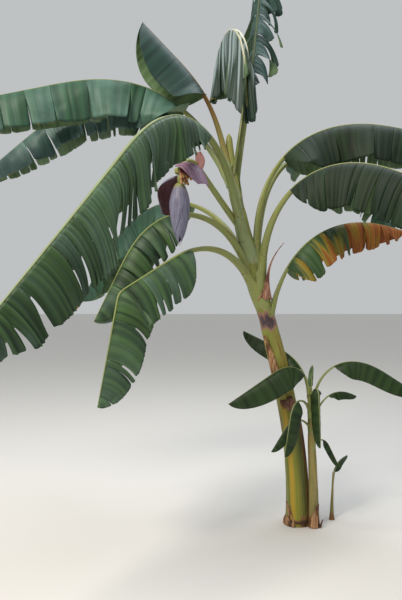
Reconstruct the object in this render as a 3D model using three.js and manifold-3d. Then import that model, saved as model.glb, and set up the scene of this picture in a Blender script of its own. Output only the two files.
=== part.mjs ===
// A flowering banana plant with two young suckers on the same root.
// Millimetres and degrees. +Z is up, +X is to the viewer's right and +Y is away from the viewer.
// The origin is the centre of the flat cut under the main stem, at ground level.
// A leaf is one solid: a channelled stalk that runs on as the midrib, and a blade whose two halves
// hang from it in strips, because wind tears a banana leaf between its side veins.

import * as THREE from 'three';
import Module from 'manifold-3d';
import { mergeVertices } from 'three/addons/utils/BufferGeometryUtils.js';

const wasm = await Module();
wasm.setup();

const UP = new THREE.Vector3(0, 0, 1);
const CLEARANCE = 0.6;           // gap kept between a piece and the one that carries it

// Main stem: rolled leaf sheaths, leaning more and more towards -X on the way up.
// foot, waist and top are radii, flare widens the root, and crown swells the place where the stalks part.
const MAIN_STEM = {
  x: 0, y: 0, height: 3050, foot: 84, waist: 64, waistHeight: 1500, top: 30,
  flare: 22, flareHeight: 90, crown: 15, crownHeight: 2050, crownSpan: 330,
  lean: 550, leanSpan: 3300, leanPower: 1.15, sides: 18, rings: 17,
};
const SUCKER_STEM = {
  x: 115, y: -70, height: 1060, foot: 41, waist: 24, waistHeight: 760, top: 12,
  flare: 11, flareHeight: 60, crown: 0, crownHeight: 900, crownSpan: 100,
  lean: 24, leanSpan: 1100, leanPower: 1.2, sides: 12, rings: 7,
};
const SPROUT_STEM = {
  x: 290, y: 80, height: 380, foot: 15, waist: 9, waistHeight: 260, top: 5,
  flare: 9, flareHeight: 40, crown: 0, crownHeight: 300, crownSpan: 100,
  lean: -12, leanSpan: 420, leanPower: 1.2, sides: 10, rings: 4,
};
const LOWER_TAPER = 1.6;         // power of the taper from the foot to the waist
const UPPER_TAPER = 1.8;         // power of the taper from the waist to the top
const RING_SPREAD = 1.15;        // power that puts more rings near the root

// Loose outer sheath of the main stem: it narrows towards its top
const OUTER_SHEATH = {
  from: 40, to: 985, seat: 2.2, thickness: 9, start: 244, turn: 250,
  narrowFrom: 0.72, narrowBy: 0.75, steps: 14, rings: 9,
};

// Peeling and dry pieces on the main stem: azimuth, lowest and highest point, width, how far the tip
// stands off, how far the middle bulges, and how far the piece lies off the stem's own surface
const DRY_PIECES = [
  { name: 'dry_sheath_left', azimuth: 196, from: 1180, to: 1475, width: 70, stand: 42, bulge: 0, over: 2 },
  { name: 'dry_stalk_right', azimuth: 328, from: 1790, to: 2210, width: 84, stand: 190, bulge: 0, over: 2 },
  { name: 'cut_stalk_front', azimuth: 250, from: 960, to: 1045, width: 66, stand: 30, bulge: 10, over: 11.2 },
];
const DRY = { thickness: 7, sink: 8, taper: 0.86, taperPower: 1.4, rings: 5, across: 4 };

// Section of a leaf's stalk and midrib. Half widths are those of a full-size leaf.
const RIB = {
  foot: 32, head: 20, tip: 8, thinning: 0.6,
  depth: 1.15,                   // underside depth, as a share of the half width
  channel: 0.35,                 // height of the channel's two edges, as a share of the half width
  flank: 0.9,                    // half width of the underside's flat part, as a share of the half width
  root: 0.5,                     // where the midrib's line starts, as a share of the stem's radius
  steps: 140,
};
const SNAP_HALF = 0.025;         // half length of a broken rib's bend, as a share of the leaf

// Blade
const BLADE = {
  thickness: 0.01,               // share of the blade's length
  first: 0.004, last: 0.985,     // shares of the blade between which it has width
  footRoundness: 0.6, fullFrom: 0.3, tipPower: 2.8, tipRoundness: 0.65,
  steps: 12,                     // steps in which a blade half is followed from rib to margin
  hangStart: 0.35,               // share of its full slope with which a blade half leaves the rib
  hangReach: 0.3,                // share of the half width in which most of the bend lies
  footHang: 0.6, footSpan: 0.2,  // at its foot the blade hangs less, up to this share of the length
  long: 600,                     // a longer blade gets more cells
};
const TEAR = {
  first: 0.06, span: 0.86,       // shares of the blade over which the tears are spread
  jitter: 0.45,                  // how unevenly they are spread
  rootWidth: 0.2, open: 0.3,     // shares of the tear's width at the rib and added on each side at the margin
  sag: 24,                       // by how many degrees the slopes of neighbouring torn strips differ
};

// foot: height on the stem. azimuth: compass direction from +X towards +Y. veer: its change along the leaf.
// rise and fall: slope of the stalk at the stem and of the midrib at the tip. turn: shares of the length
// between which the slope changes. left and right: how steeply the two blade halves hang, as seen by
// someone who looks out along the leaf. droop: how far the strips are pulled plumb.
// widen: share of the blade over which it reaches its full width. strips: number of strips in each half.
// torn: share of the tears that reach the midrib. gap: width of a tear at the margin.
const LEAVES = [
  {
    name: 'leaf_flag', foot: 2800, azimuth: 198, veer: 0, rise: 74, fall: 42, turn: [0.15, 0.78],
    stalk: 620, blade: 720, half: 310, widen: 0.14, left: 88, right: 86, droop: 0, strips: 3, torn: 0,
    gap: 8, size: 0.8,
  },
  {
    name: 'leaf_top_folded', foot: 2660, azimuth: 122, veer: -25, rise: 106, fall: -42, turn: [0.21, 1],
    stalk: 900, blade: 1450, half: 450, widen: 0.1, left: 86, right: 84, droop: 1.8, strips: 6, torn: 0.3,
    gap: 14, size: 1,
  },
  {
    name: 'leaf_top_torn', foot: 2730, azimuth: 58, veer: 25, rise: 71, fall: -27, turn: [0.6, 1.0],
    stalk: 870, blade: 2230, half: 280, widen: 0.7, left: 80, right: 60, droop: 0.8, strips: 8, torn: 1,
    gap: 60, size: 0.85,
  },
  {
    name: 'leaf_left_high', foot: 2820, azimuth: 192, veer: 1, rise: 57, fall: -16, turn: [0, 0.64],
    stalk: 570, blade: 2110, half: 350, widen: 0.22, left: 86, right: 50, droop: 0.35, strips: 5,
    torn: 0.2, gap: 12, size: 0.9,
  },
  {
    name: 'leaf_left_second', foot: 2690, azimuth: 171, veer: 17, rise: 62, fall: -42, turn: [0, 0.85],
    stalk: 610, blade: 1990, half: 330, widen: 0.2, left: 82, right: 66, droop: 0.4, strips: 6,
    torn: 0.6, gap: 22, size: 0.9,
  },
  {
    name: 'leaf_left_front', foot: 2250, azimuth: 241, veer: -8, rise: 63, fall: -47,
    turn: [0.03, 0.57], stalk: 900, blade: 2680, half: 410, widen: 0.42, left: 80, right: 50,
    droop: 1.6, strips: 7, torn: 0.3, gap: 24, size: 1.1,
  },
  {
    name: 'leaf_left_low', foot: 1850, azimuth: 200, veer: -1, rise: 69, fall: -64, turn: [0.04, 0.8],
    stalk: 970, blade: 1050, half: 290, widen: 0.15, left: 78, right: 70, droop: 0.5, strips: 5,
    torn: 0.5, gap: 24, size: 1,
  },
  {
    name: 'leaf_left_bent', foot: 1850, azimuth: 215, veer: -6, rise: 55, fall: -31, turn: [0, 0.45],
    stalk: 750, blade: 1430, half: 330, widen: 0.16, left: 76, right: 70, droop: 0.6, strips: 5,
    torn: 0.5, gap: 24, size: 1, snapAt: 0.64, snapBy: -48,
  },
  {
    name: 'leaf_right_high', foot: 2070, azimuth: 2, veer: -9, rise: 91, fall: -15, turn: [0, 0.73],
    stalk: 890, blade: 1940, half: 340, widen: 0.14, left: 66, right: 84, droop: 0.4, strips: 5,
    torn: 0.2, gap: 14, size: 1,
  },
  {
    name: 'leaf_right_front', foot: 1940, azimuth: 324, veer: 6, rise: 83, fall: -30, turn: [0, 0.64],
    stalk: 760, blade: 2040, half: 390, widen: 0.14, left: 66, right: 84, droop: 0.45, strips: 5,
    torn: 0.4, gap: 18, size: 1,
  },
  {
    name: 'leaf_right_withered', foot: 1660, azimuth: 357, veer: 22, rise: 74, fall: -13, turn: [0, 1],
    stalk: 390, blade: 1180, half: 300, widen: 0.1, left: 60, right: 80, droop: 0.5, strips: 6,
    torn: 0.7, gap: 26, size: 0.75,
  },
  {
    name: 'leaf_back_left', foot: 1900, azimuth: 154, veer: 3, rise: 70, fall: -56, turn: [0.01, 0.84],
    stalk: 930, blade: 1480, half: 300, widen: 0.2, left: 74, right: 74, droop: 0.5, strips: 5,
    torn: 0.5, gap: 24, size: 1,
  },
  {
    name: 'leaf_back_right', foot: 2060, azimuth: 40, veer: -12, rise: 84, fall: -40,
    turn: [0.03, 0.85], stalk: 1000, blade: 1560, half: 270, widen: 0.2, left: 74, right: 74,
    droop: 0.5, strips: 5, torn: 0.5, gap: 24, size: 1,
  },
];
const SUCKER_LEAVES = [
  {
    name: 'sucker_leaf_spear', foot: 1030, azimuth: 300, veer: 0, rise: 86, fall: 84, turn: [0, 1],
    stalk: 60, blade: 170, half: 26, left: -40, right: -40, droop: 0, strips: 1, gap: 0, size: 0.28,
  },
  {
    name: 'sucker_leaf_left', foot: 1020, azimuth: 195, veer: -3, rise: 85, fall: -32,
    turn: [0.02, 0.54], stalk: 165, blade: 720, half: 185, left: 78, right: 60, droop: 0.3, strips: 3,
    gap: 8, size: 0.42,
  },
  {
    name: 'sucker_leaf_right', foot: 900, azimuth: 352, veer: -1, rise: 84, fall: -33, turn: [0, 0.77],
    stalk: 410, blade: 710, half: 150, left: 60, right: 78, droop: 0.3, strips: 3, gap: 8, size: 0.42,
  },
  {
    name: 'sucker_leaf_back', foot: 1000, azimuth: 150, veer: 0, rise: 82, fall: 23, turn: [0.01, 0.65],
    stalk: 240, blade: 590, half: 130, left: 74, right: 60, droop: 0.3, strips: 2, gap: 8, size: 0.38,
  },
  {
    name: 'sucker_leaf_small', foot: 800, azimuth: 15, veer: 8, rise: 68, fall: -24, turn: [0.07, 1],
    stalk: 265, blade: 275, half: 70, left: 50, right: 70, droop: 0.2, strips: 2, gap: 6, size: 0.3,
  },
  {
    name: 'sucker_leaf_front', foot: 960, azimuth: 288, veer: 0, rise: 68, fall: -86,
    turn: [0.14, 0.38], stalk: 150, blade: 470, half: 80, left: 50, right: 40, droop: 0.1, strips: 2,
    gap: 6, size: 0.32,
  },
  {
    name: 'sucker_leaf_drooping', foot: 900, azimuth: 224, veer: -2, rise: 59, fall: -76,
    turn: [0, 0.57], stalk: 200, blade: 440, half: 105, left: 60, right: 50, droop: 0.1, strips: 2,
    gap: 6, size: 0.35,
  },
  {
    name: 'sucker_leaf_lowest', foot: 780, azimuth: 197, veer: -1, rise: 47, fall: -55, turn: [0, 0.57],
    stalk: 150, blade: 310, half: 72, left: 60, right: 50, droop: 0.1, strips: 2, gap: 6, size: 0.3,
  },
  {
    name: 'sucker_leaf_low_right', foot: 650, azimuth: 359, veer: 0, rise: 38, fall: -64,
    turn: [0, 0.46], stalk: 80, blade: 265, half: 48, left: 60, right: 60, droop: 0.1, strips: 2,
    gap: 6, size: 0.28,
  },
];
const SPROUT_LEAVES = [
  {
    name: 'sprout_leaf', foot: 330, azimuth: 40, veer: 0, rise: 70, fall: 10, turn: [0, 1], stalk: 50,
    blade: 210, half: 36, left: 40, right: 40, droop: 0, strips: 1, gap: 0, size: 0.2,
  },
];
const YOUNG_LEAF = { widen: 0.25, torn: 0 };   // what all leaves of the suckers share

// Flower stalk and male bud
const FLOWER_STALK = {
  foot: 2340, azimuth: 220, veer: 10, rise: 42, fall: -91, turn: [0.6, 0.99], length: 950,
  radius: 21, footWidth: 1.25, tipWidth: 0.85, sides: 8, steps: 16,
};
const BUD = { length: 452, radius: 72, crown: 26, shoulder: 0.36, sides: 14, rings: 9 };
// Three open bracts: compass direction of the hinge, its height above the bud and distance from the axis,
// slope at the hinge and at the tip, length, half width, and the angle through which each half is cupped
const BRACTS = [
  {
    name: 'bract_lifted', azimuth: 316, above: 138, hinge: 12, rise: 4, fall: -64,
    length: 330, half: 94, cup: 54,
  },
  {
    name: 'bract_hanging', azimuth: 172, above: 56, hinge: 12, rise: -12, fall: -104,
    length: 360, half: 80, cup: 62,
  },
  {
    name: 'bract_raised', azimuth: 40, above: 112, hinge: 165, rise: 80, fall: 98,
    length: 140, half: 42, cup: 60,
  },
];
const BRACT = { thickness: 6, footWidth: 0.28, rows: 7, columns: 6 };
// A hand of young flowers: rows of slim fingers that hang by drop degrees from a collar round the stalk
const FLOWERS = {
  count: 6, rows: 2, length: 105, radius: 10, azimuth: 322, spread: 84, drop: 40, dropStep: 16,
  collar: 36, collarHeight: 44, above: 88, rowHeight: 12, rowStep: 20, sides: 6,
};

const COLOURS = {
  stem: 0x8c8a35, sheath: 0x7c8634, stalk: 0x93a24a, leaf: 0x2f5c35, leafPale: 0x8da394,
  withered: 0xa7642a, dry: 0x8a5c3c, bud: 0x8d7f98, bract: 0x77505f, flower: 0xd9a878,
};

const { degToRad: radians, smoothstep, lerp, clamp } = THREE.MathUtils;
const vector = (x, y, z) => new THREE.Vector3(x, y, z);
const around = (angle, reach) => vector(reach * Math.cos(angle), reach * Math.sin(angle), 0);
const direction = (slope, heading) => around(heading, Math.cos(slope)).setZ(Math.sin(slope));

/** A repeatable number from 0 to 1 for the k-th choice of a seed. */
function chance(seed, k) {
  const wave = Math.sin(seed * 12.9898 + k * 78.233) * 43758.5453;
  return wave - Math.floor(wave);
}

/** Joins the vertices of a closed shape and makes it a solid. */
function toSolid(geometry) {
  geometry.deleteAttribute('normal');
  geometry.deleteAttribute('uv');
  const merged = mergeVertices(geometry, 1e-3);
  return new wasm.Manifold(new wasm.Mesh({
    numProp: 3,
    vertProperties: new Float32Array(merged.attributes.position.array),
    triVerts: new Uint32Array(merged.index.array),
  }));
}

function toGeometry(solid) {
  const mesh = solid.getMesh();
  const geometry = new THREE.BufferGeometry();
  geometry.setAttribute('position', new THREE.BufferAttribute(mesh.vertProperties, 3));
  geometry.setIndex(new THREE.BufferAttribute(mesh.triVerts, 1));
  geometry.computeVertexNormals();
  return geometry;
}

/** The biggest of the bodies that a cut leaves. */
function largestBody(solid) {
  return solid.decompose().reduce((best, body) => (body.volume() > best.volume() ? body : best));
}

/**
 * A closed slab from two grids of points. The front one faces along rows x columns, the back one away.
 * filled(i, j) says whether the cell between rows i and i + 1 and columns j and j + 1 has material,
 * so a slab can have a comb-like outline.
 */
function slab(front, back, filled) {
  const rows = front.length - 1;
  const columns = front[0].length - 1;
  const has = (i, j) => i >= 0 && j >= 0 && i < rows && j < columns && filled(i, j);
  const positions = [];
  const quad = (a, b, c, d) => [a, b, c, a, c, d].forEach((p) => positions.push(p.x, p.y, p.z));
  for (let i = 0; i < rows; i++) {
    for (let j = 0; j < columns; j++) {
      if (!has(i, j)) continue;
      const corners = [[i, j], [i + 1, j], [i + 1, j + 1], [i, j + 1]];
      const [a, b, c, d] = corners.map(([r, k]) => front[r][k]);
      const [e, f, g, h] = corners.map(([r, k]) => back[r][k]);
      quad(a, b, c, d);
      quad(h, g, f, e);
      if (!has(i, j - 1)) quad(b, a, e, f);
      if (!has(i, j + 1)) quad(d, c, g, h);
      if (!has(i - 1, j)) quad(a, d, h, e);
      if (!has(i + 1, j)) quad(c, b, f, g);
    }
  }
  const geometry = new THREE.BufferGeometry();
  geometry.setAttribute('position', new THREE.Float32BufferAttribute(positions, 3));
  return geometry;
}

/** Rows of points: at(i, j) is asked for shares from 0 to 1 along the rows and columns. */
function grid(rows, columns, at) {
  return Array.from({ length: rows + 1 }, (_, i) => (
    Array.from({ length: columns + 1 }, (_unused, j) => at(i / rows, j / columns))));
}

function stemCentre(stem, z) {
  const share = 0.5 - 0.5 * Math.cos((Math.PI * z) / stem.leanSpan);
  return vector(stem.x - stem.lean * share ** stem.leanPower, stem.y, z);
}

/** Radius of a stem: a flared root, a waist, a fuller crown where the leaf stalks part, and a narrow top. */
function stemRadius(stem, z) {
  const below = stem.waist + (stem.foot - stem.waist) * (1 - Math.min(z / stem.waistHeight, 1) ** LOWER_TAPER);
  const above = Math.max(0, (z - stem.waistHeight) / (stem.height - stem.waistHeight));
  const body = below - (stem.waist - stem.top) * Math.min(above, 1) ** UPPER_TAPER;
  const crown = stem.crown * Math.exp(-(((z - stem.crownHeight) / stem.crownSpan) ** 2));
  return body + crown + stem.flare * Math.exp(-z / stem.flareHeight);
}

/** A stem: a lathe profile from the flat cut to the tip, whose rings then follow the lean. */
function stemShape(stem, grow) {
  const profile = [new THREE.Vector2(0, -grow)];
  for (let i = 0; i <= stem.rings; i++) {
    const z = stem.height * (i / stem.rings) ** RING_SPREAD;
    profile.push(new THREE.Vector2(stemRadius(stem, z) + grow, i === 0 ? -grow : z));
  }
  profile.push(new THREE.Vector2(0, stem.height + stem.top));
  const geometry = new THREE.LatheGeometry(profile, stem.sides);
  geometry.rotateX(Math.PI / 2);
  const position = geometry.attributes.position;
  for (let i = 0; i < position.count; i++) {
    const centre = stemCentre(stem, Math.min(position.getZ(i), stem.height));
    position.setX(i, position.getX(i) + centre.x);
    position.setY(i, position.getY(i) + centre.y);
  }
  return geometry;
}

/** The outer sheath: a shell round most of the stem, from one showing edge to the other. */
function sheathShape(grow) {
  const { from, to, seat, thickness, start, turn, narrowFrom, narrowBy, steps, rings } = OUTER_SHEATH;
  const shell = (offset) => grid(rings, steps, (i, j) => {
    const z = from - grow + (to - from + 2 * grow) * i;
    const width = turn * (1 - narrowBy * smoothstep(i, narrowFrom, 1));
    const reach = stemRadius(MAIN_STEM, z) + offset;
    const angle = radians(start + width * j) + (grow / reach) * (4 * j - 2);
    return stemCentre(MAIN_STEM, z).add(around(angle, reach));
  });
  return slab(shell(seat - grow), shell(seat + thickness + grow), () => true);
}

/** A dry piece: a strip that is set into the stem at its foot, narrows, and stands off at its tip. */
function dryShape(piece, grow) {
  const facing = radians(piece.azimuth);
  const face = (offset) => grid(DRY.rings, DRY.across, (i, j) => {
    const z = piece.from + (piece.to - piece.from) * i;
    const near = stemRadius(MAIN_STEM, z) + piece.over - DRY.sink * (1 - i) ** 3;
    const halfWidth = piece.width * 0.5 * (1 - DRY.taper * i ** DRY.taperPower) + grow;
    const angle = facing + ((j - 0.5) * 2 * halfWidth) / near;
    const reach = near + piece.stand * i ** 2 + piece.bulge * Math.sin(Math.PI * j) + offset;
    return stemCentre(MAIN_STEM, z).add(around(angle, reach));
  });
  return slab(face(-grow), face(DRY.thickness + grow), () => true);
}

/** The midrib's line: the slope turns from rise to fall, and the direction veers. */
function ribLine(leaf, stem) {
  const total = leaf.stalk + leaf.blade;
  const inset = RIB.root * stemRadius(stem, leaf.foot);
  const points = [stemCentre(stem, leaf.foot).add(around(radians(leaf.azimuth), inset))];
  const slopes = [];
  const headings = [];
  for (let k = 0; k < RIB.steps; k++) {
    const share = (k + 0.5) / RIB.steps;
    let slope = leaf.rise + (leaf.fall - leaf.rise) * smoothstep(share, leaf.turn[0], leaf.turn[1]);
    if (leaf.snapAt) slope += leaf.snapBy * smoothstep(share, leaf.snapAt - SNAP_HALF, leaf.snapAt + SNAP_HALF);
    slopes.push(radians(slope));
    headings.push(radians(leaf.azimuth + leaf.veer * share));
    points.push(points[k].clone().addScaledVector(direction(slopes[k], headings[k]), total / RIB.steps));
  }
  return { points, slopes, headings, total };
}

/** Place on the midrib at a distance from the stem, with its directions along, to the right, and up. */
function ribFrame(line, distance) {
  const position = clamp(distance / line.total, 0, 1) * RIB.steps;
  const k = Math.min(Math.floor(position), RIB.steps - 1);
  const point = line.points[k].clone().lerp(line.points[k + 1], position - k);
  const middle = clamp(position - 0.5, 0, RIB.steps - 1);
  const m = Math.min(Math.floor(middle), RIB.steps - 2);
  const between = (values) => lerp(values[m], values[m + 1], middle - m);
  const heading = between(line.headings);
  const along = direction(between(line.slopes), heading);
  const right = vector(Math.sin(heading), -Math.cos(heading), 0);
  return { point, along, right, up: right.clone().cross(along) };
}

/** Half width of the blade at a share of its length, as a share of the widest. */
function outline(leaf, share) {
  const widening = (1 - (1 - Math.min(share / leaf.widen, 1)) ** 2) ** BLADE.footRoundness;
  const past = Math.max(0, (share - BLADE.fullFrom) / (1 - BLADE.fullFrom));
  return widening * (1 - past ** BLADE.tipPower) ** BLADE.tipRoundness;
}

const bladeThickness = (leaf) => leaf.blade * BLADE.thickness;

/** Half width of the stalk and midrib at a distance from the stem. */
function ribHalfWidth(leaf, distance) {
  if (distance < leaf.stalk) return leaf.size * lerp(RIB.foot, RIB.head, distance / leaf.stalk);
  const share = (distance - leaf.stalk) / leaf.blade;
  return Math.max(leaf.size * lerp(RIB.head, RIB.tip, share ** RIB.thinning), 0.55 * bladeThickness(leaf));
}

/**
 * A point of a blade half and the direction its upper face looks in. side is 1 on the right and -1 on the
 * left, reach runs from the rib to the margin, shift moves the point along the rib, and extra widens the blade.
 */
function wingPoint(leaf, line, { side, share, shift, reach, extra, sag }) {
  const distance = leaf.stalk + share * leaf.blade;
  const frame = ribFrame(line, distance + shift);
  const half = ribHalfWidth(leaf, distance);
  const width = leaf.half * outline(leaf, share) + extra;
  const footed = BLADE.footHang + (1 - BLADE.footHang) * smoothstep(share, 0, BLADE.footSpan);
  const hang = (side > 0 ? leaf.right : leaf.left) * footed + sag;
  const point = frame.point.clone()
    .addScaledVector(frame.right, side * half)
    .addScaledVector(frame.up, RIB.channel * half);
  const heading = frame.right.clone();
  const steps = Math.round(BLADE.steps * reach);
  for (let k = 0; k < steps; k++) {
    const at = ((k + 0.5) / steps) * reach;
    const bent = (1 - Math.exp(-at / BLADE.hangReach)) / (1 - Math.exp(-1 / BLADE.hangReach));
    const angle = radians(hang * lerp(BLADE.hangStart, 1, bent));
    heading.copy(frame.right).multiplyScalar(side * Math.cos(angle)).addScaledVector(frame.up, -Math.sin(angle));
    heading.lerp(UP.clone().negate(), Math.min(1, leaf.droop * at)).normalize();
    point.addScaledVector(heading, (width * reach) / steps);
  }
  const normal = heading.clone().cross(frame.along).multiplyScalar(side).normalize();
  return { point, normal };
}

/** Where the blade's strips start and end, as shares of its length, the same on both halves. */
function stripEdges(leaf) {
  const cuts = Array.from({ length: leaf.strips - 1 }, (_, k) => {
    const jitter = (chance(leaf.seed, k) - 0.5) * TEAR.jitter;
    return TEAR.first + (TEAR.span * (k + 1 + jitter)) / leaf.strips;
  });
  const half = (TEAR.rootWidth * leaf.gap) / leaf.blade;
  return Array.from({ length: leaf.strips }, (_, k) => ({
    from: k === 0 ? BLADE.first : cuts[k - 1] + half,
    to: k === leaf.strips - 1 ? BLADE.last : cuts[k] - half,
  }));
}

/** Stations along a leaf: some on the bare stalk, and three or four on each strip of the blade. */
function leafStations(leaf) {
  const bare = leaf.blade > BLADE.long ? 5 : 3;
  const stations = Array.from({ length: bare }, (_, k) => ({ distance: (leaf.stalk * k) / bare, strip: -1 }));
  stripEdges(leaf).forEach(({ from, to }, strip) => {
    for (const part of strip === 0 ? [0, 0.16, 0.5, 1] : [0, 0.5, 1]) {
      const share = lerp(from, to, part);
      stations.push({ distance: leaf.stalk + share * leaf.blade, share, strip, part });
    }
  });
  return stations;
}

/** The midrib's section at a station: three points above and three below, from left to right. */
function ribSection(leaf, line, station, grow, last) {
  const frame = ribFrame(line, station.distance + (last ? grow : 0));
  const half = ribHalfWidth(leaf, station.distance);
  const onBlade = station.strip >= 0;
  const side = onBlade ? bladeThickness(leaf) : RIB.flank * half;
  const flank = RIB.flank * half + (onBlade ? 0.3 : 1) * grow;
  const edge = RIB.channel * half;
  const low = edge - side - 3 * grow;
  const deep = Math.max(RIB.depth * half, 0.8 * side) + 2 * grow;
  const place = (right, up) => (
    frame.point.clone().addScaledVector(frame.right, right).addScaledVector(frame.up, up));
  return {
    top: [place(-half - grow, edge + grow), place(0, 1.2 * grow), place(half + grow, edge + grow)],
    bottom: [place(-flank, low), place(0, -deep), place(flank, low)],
  };
}

/** The points above and below a blade half at a station, at a reach from the rib to the margin. */
function wingPair(leaf, line, station, side, reach, grow) {
  const towardsCut = station.part === 0 ? 1 : -1;
  const inStrip = station.part > 0 && station.part < 1;
  const shift = inStrip ? 0 : towardsCut * (leaf.gap * TEAR.open * reach - grow);
  const sag = (chance(leaf.seed + 0.5 * side, 40 + station.strip) - 0.5) * TEAR.sag * leaf.torn;
  const { point, normal } = wingPoint(leaf, line, { side, share: station.share, shift, reach, extra: grow, sag });
  return {
    top: point.clone().addScaledVector(normal, grow),
    bottom: point.clone().addScaledVector(normal, -bladeThickness(leaf) - grow),
  };
}

/** A whole leaf: a row of points from margin to margin at each station, joined at the rib across the tears. */
function leafShape(leaf, stem, grow) {
  const line = ribLine(leaf, stem);
  const across = leaf.blade > BLADE.long ? 3 : 2;
  const stations = leafStations(leaf);
  const sections = stations.map((station) => {
    const rib = ribSection(leaf, line, station, grow, station === stations.at(-1));
    const wing = (side, inner) => Array.from({ length: across }, (_, j) => (
      station.strip < 0 ? inner : wingPair(leaf, line, station, side, (j + 1) / across, grow)));
    const left = wing(-1, { top: rib.top[0], bottom: rib.bottom[0] }).reverse();
    const right = wing(1, { top: rib.top[2], bottom: rib.bottom[2] });
    const row = (face) => [...left.map((pair) => pair[face]), ...rib[face], ...right.map((pair) => pair[face])];
    return { top: row('top'), bottom: row('bottom') };
  });
  const filled = (i, j) => {
    const { strip } = stations[i];
    if (j === across || j === across + 1) return true;
    if (strip < 0) return false;
    if (strip === stations[i + 1].strip) return true;
    const onLeft = j < across;
    const besideRib = onLeft ? j === across - 1 : j === across + 2;
    return besideRib && chance(leaf.seed, 10 * strip + (onLeft ? 3 : 7)) >= leaf.torn;
  };
  return slab(sections.map((section) => section.bottom), sections.map((section) => section.top), filled);
}

const FLOWER_LINE = { ...FLOWER_STALK, stalk: FLOWER_STALK.length, blade: 0 };

/** The flower stalk: a round bar that arches over and ends plumb. */
function flowerStalkShape(grow) {
  const line = ribLine(FLOWER_LINE, MAIN_STEM);
  const { sides, steps, radius, footWidth, tipWidth, length } = FLOWER_STALK;
  const rings = grid(steps, sides, (i, j) => {
    const frame = ribFrame(line, length * i);
    const reach = (radius + grow) * lerp(footWidth, tipWidth, i);
    return frame.point.clone()
      .addScaledVector(frame.right, reach * Math.cos(2 * Math.PI * j))
      .addScaledVector(frame.up, reach * Math.sin(2 * Math.PI * j))
      .addScaledVector(frame.along, i === 1 ? grow : 0);
  });
  const positions = [];
  const push = (...points) => points.forEach((p) => positions.push(p.x, p.y, p.z));
  for (let k = 0; k < steps; k++) {
    for (let j = 0; j < sides; j++) {
      const next = (j + 1) % sides;
      push(rings[k][j], rings[k + 1][j], rings[k + 1][next]);
      push(rings[k][j], rings[k + 1][next], rings[k][next]);
    }
  }
  for (let j = 1; j < sides - 1; j++) {
    push(rings[0][0], rings[0][j], rings[0][j + 1]);
    push(rings[steps][0], rings[steps][j + 1], rings[steps][j]);
  }
  const geometry = new THREE.BufferGeometry();
  geometry.setAttribute('position', new THREE.Float32BufferAttribute(positions, 3));
  return geometry;
}

/** Where the bud hangs: the end of the flower stalk. */
function budTop() {
  return ribLine(FLOWER_LINE, MAIN_STEM).points[RIB.steps].add(vector(0, 0, -CLEARANCE));
}

/** Radius of the bud at a share of its length below the stalk: a blunt shoulder and a long point. */
function budRadius(share) {
  const quarter = Math.PI / 2;
  const swelling = Math.sin(quarter * Math.min(share / BUD.shoulder, 1)) ** 0.8;
  const narrowing = Math.cos(quarter * Math.max(0, (share - BUD.shoulder) / (1.02 - BUD.shoulder))) ** 0.85;
  return BUD.crown * (1 - share) ** 6 + BUD.radius * swelling * narrowing;
}

function budShape(grow) {
  const profile = [new THREE.Vector2(0, -BUD.length - grow)];
  for (let i = BUD.rings; i >= 0; i--) {
    const share = (0.97 * i) / BUD.rings;
    profile.push(new THREE.Vector2(budRadius(share) + grow, -share * BUD.length));
  }
  profile.push(new THREE.Vector2(0, 0));
  const geometry = new THREE.LatheGeometry(profile, BUD.sides);
  geometry.rotateX(Math.PI / 2);
  const top = budTop();
  geometry.translate(top.x, top.y, top.z);
  return geometry;
}

/** An open bract: a cupped, pointed shell that curves away from its hinge at the top of the bud. */
function bractShape(bract, grow) {
  const facing = radians(bract.azimuth);
  const cup = radians(bract.cup);
  const across = around(facing + Math.PI / 2, 1);
  const spine = [budTop().add(around(facing, bract.hinge)).add(vector(0, 0, bract.above))];
  const headings = [];
  for (let i = 0; i <= BRACT.rows; i++) {
    const slope = radians(lerp(bract.rise, bract.fall, smoothstep(i / BRACT.rows, 0, 0.8)));
    headings.push(direction(slope, facing));
    spine.push(spine[i].clone().addScaledVector(headings[i], bract.length / BRACT.rows));
  }
  const face = (depth) => grid(BRACT.rows, BRACT.columns, (i, j) => {
    const k = Math.round(i * BRACT.rows);
    const width = lerp(BRACT.footWidth, 1, Math.sin(Math.PI * (0.12 + 0.8 * i)) ** 0.8);
    const bend = (bract.half * width + grow) / cup;
    const turn = cup * (2 * j - 1);
    const outside = across.clone().cross(headings[k]).negate();
    return spine[k].clone()
      .addScaledVector(outside, -bend + (bend + depth) * Math.cos(turn))
      .addScaledVector(across, (bend + depth) * Math.sin(turn));
  });
  return slab(face(grow), face(-BRACT.thickness - grow), () => true);
}

/** One hand of young flowers: two fans of slim fingers on a collar round the stalk's end. */
function flowersSolid(grow) {
  const { count, rows, length, radius, collar, collarHeight, above, sides } = FLOWERS;
  const top = budTop();
  const ring = new THREE.CylinderGeometry(collar + grow, collar + grow, collarHeight + 2 * grow, 2 * sides);
  ring.rotateX(Math.PI / 2);
  ring.translate(top.x, top.y, top.z + above);
  let hand = toSolid(ring);
  for (let row = 0; row < rows; row++) {
    for (let k = 0; k < count; k++) {
      const finger = new THREE.CylinderGeometry(0.5 * radius + grow, radius + grow, length + 2 * grow, sides);
      finger.rotateX(-Math.PI / 2);
      finger.translate(0, 0, -(length + collar) / 2);
      finger.rotateY(radians(FLOWERS.drop + FLOWERS.dropStep * row - 90));
      finger.rotateZ(radians(FLOWERS.azimuth + FLOWERS.spread * (k / (count - 1) - 0.5)));
      finger.translate(top.x, top.y, top.z + above + FLOWERS.rowHeight - FLOWERS.rowStep * row);
      hand = hand.add(toSolid(finger));
    }
  }
  return hand;
}

const material = (colour, roughness) => new THREE.MeshStandardMaterial({ color: colour, roughness, metalness: 0 });
const MATERIALS = Object.fromEntries(
  Object.entries(COLOURS).map(([name, colour]) => [name, material(colour, name === 'dry' ? 0.9 : 0.5)]));

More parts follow.
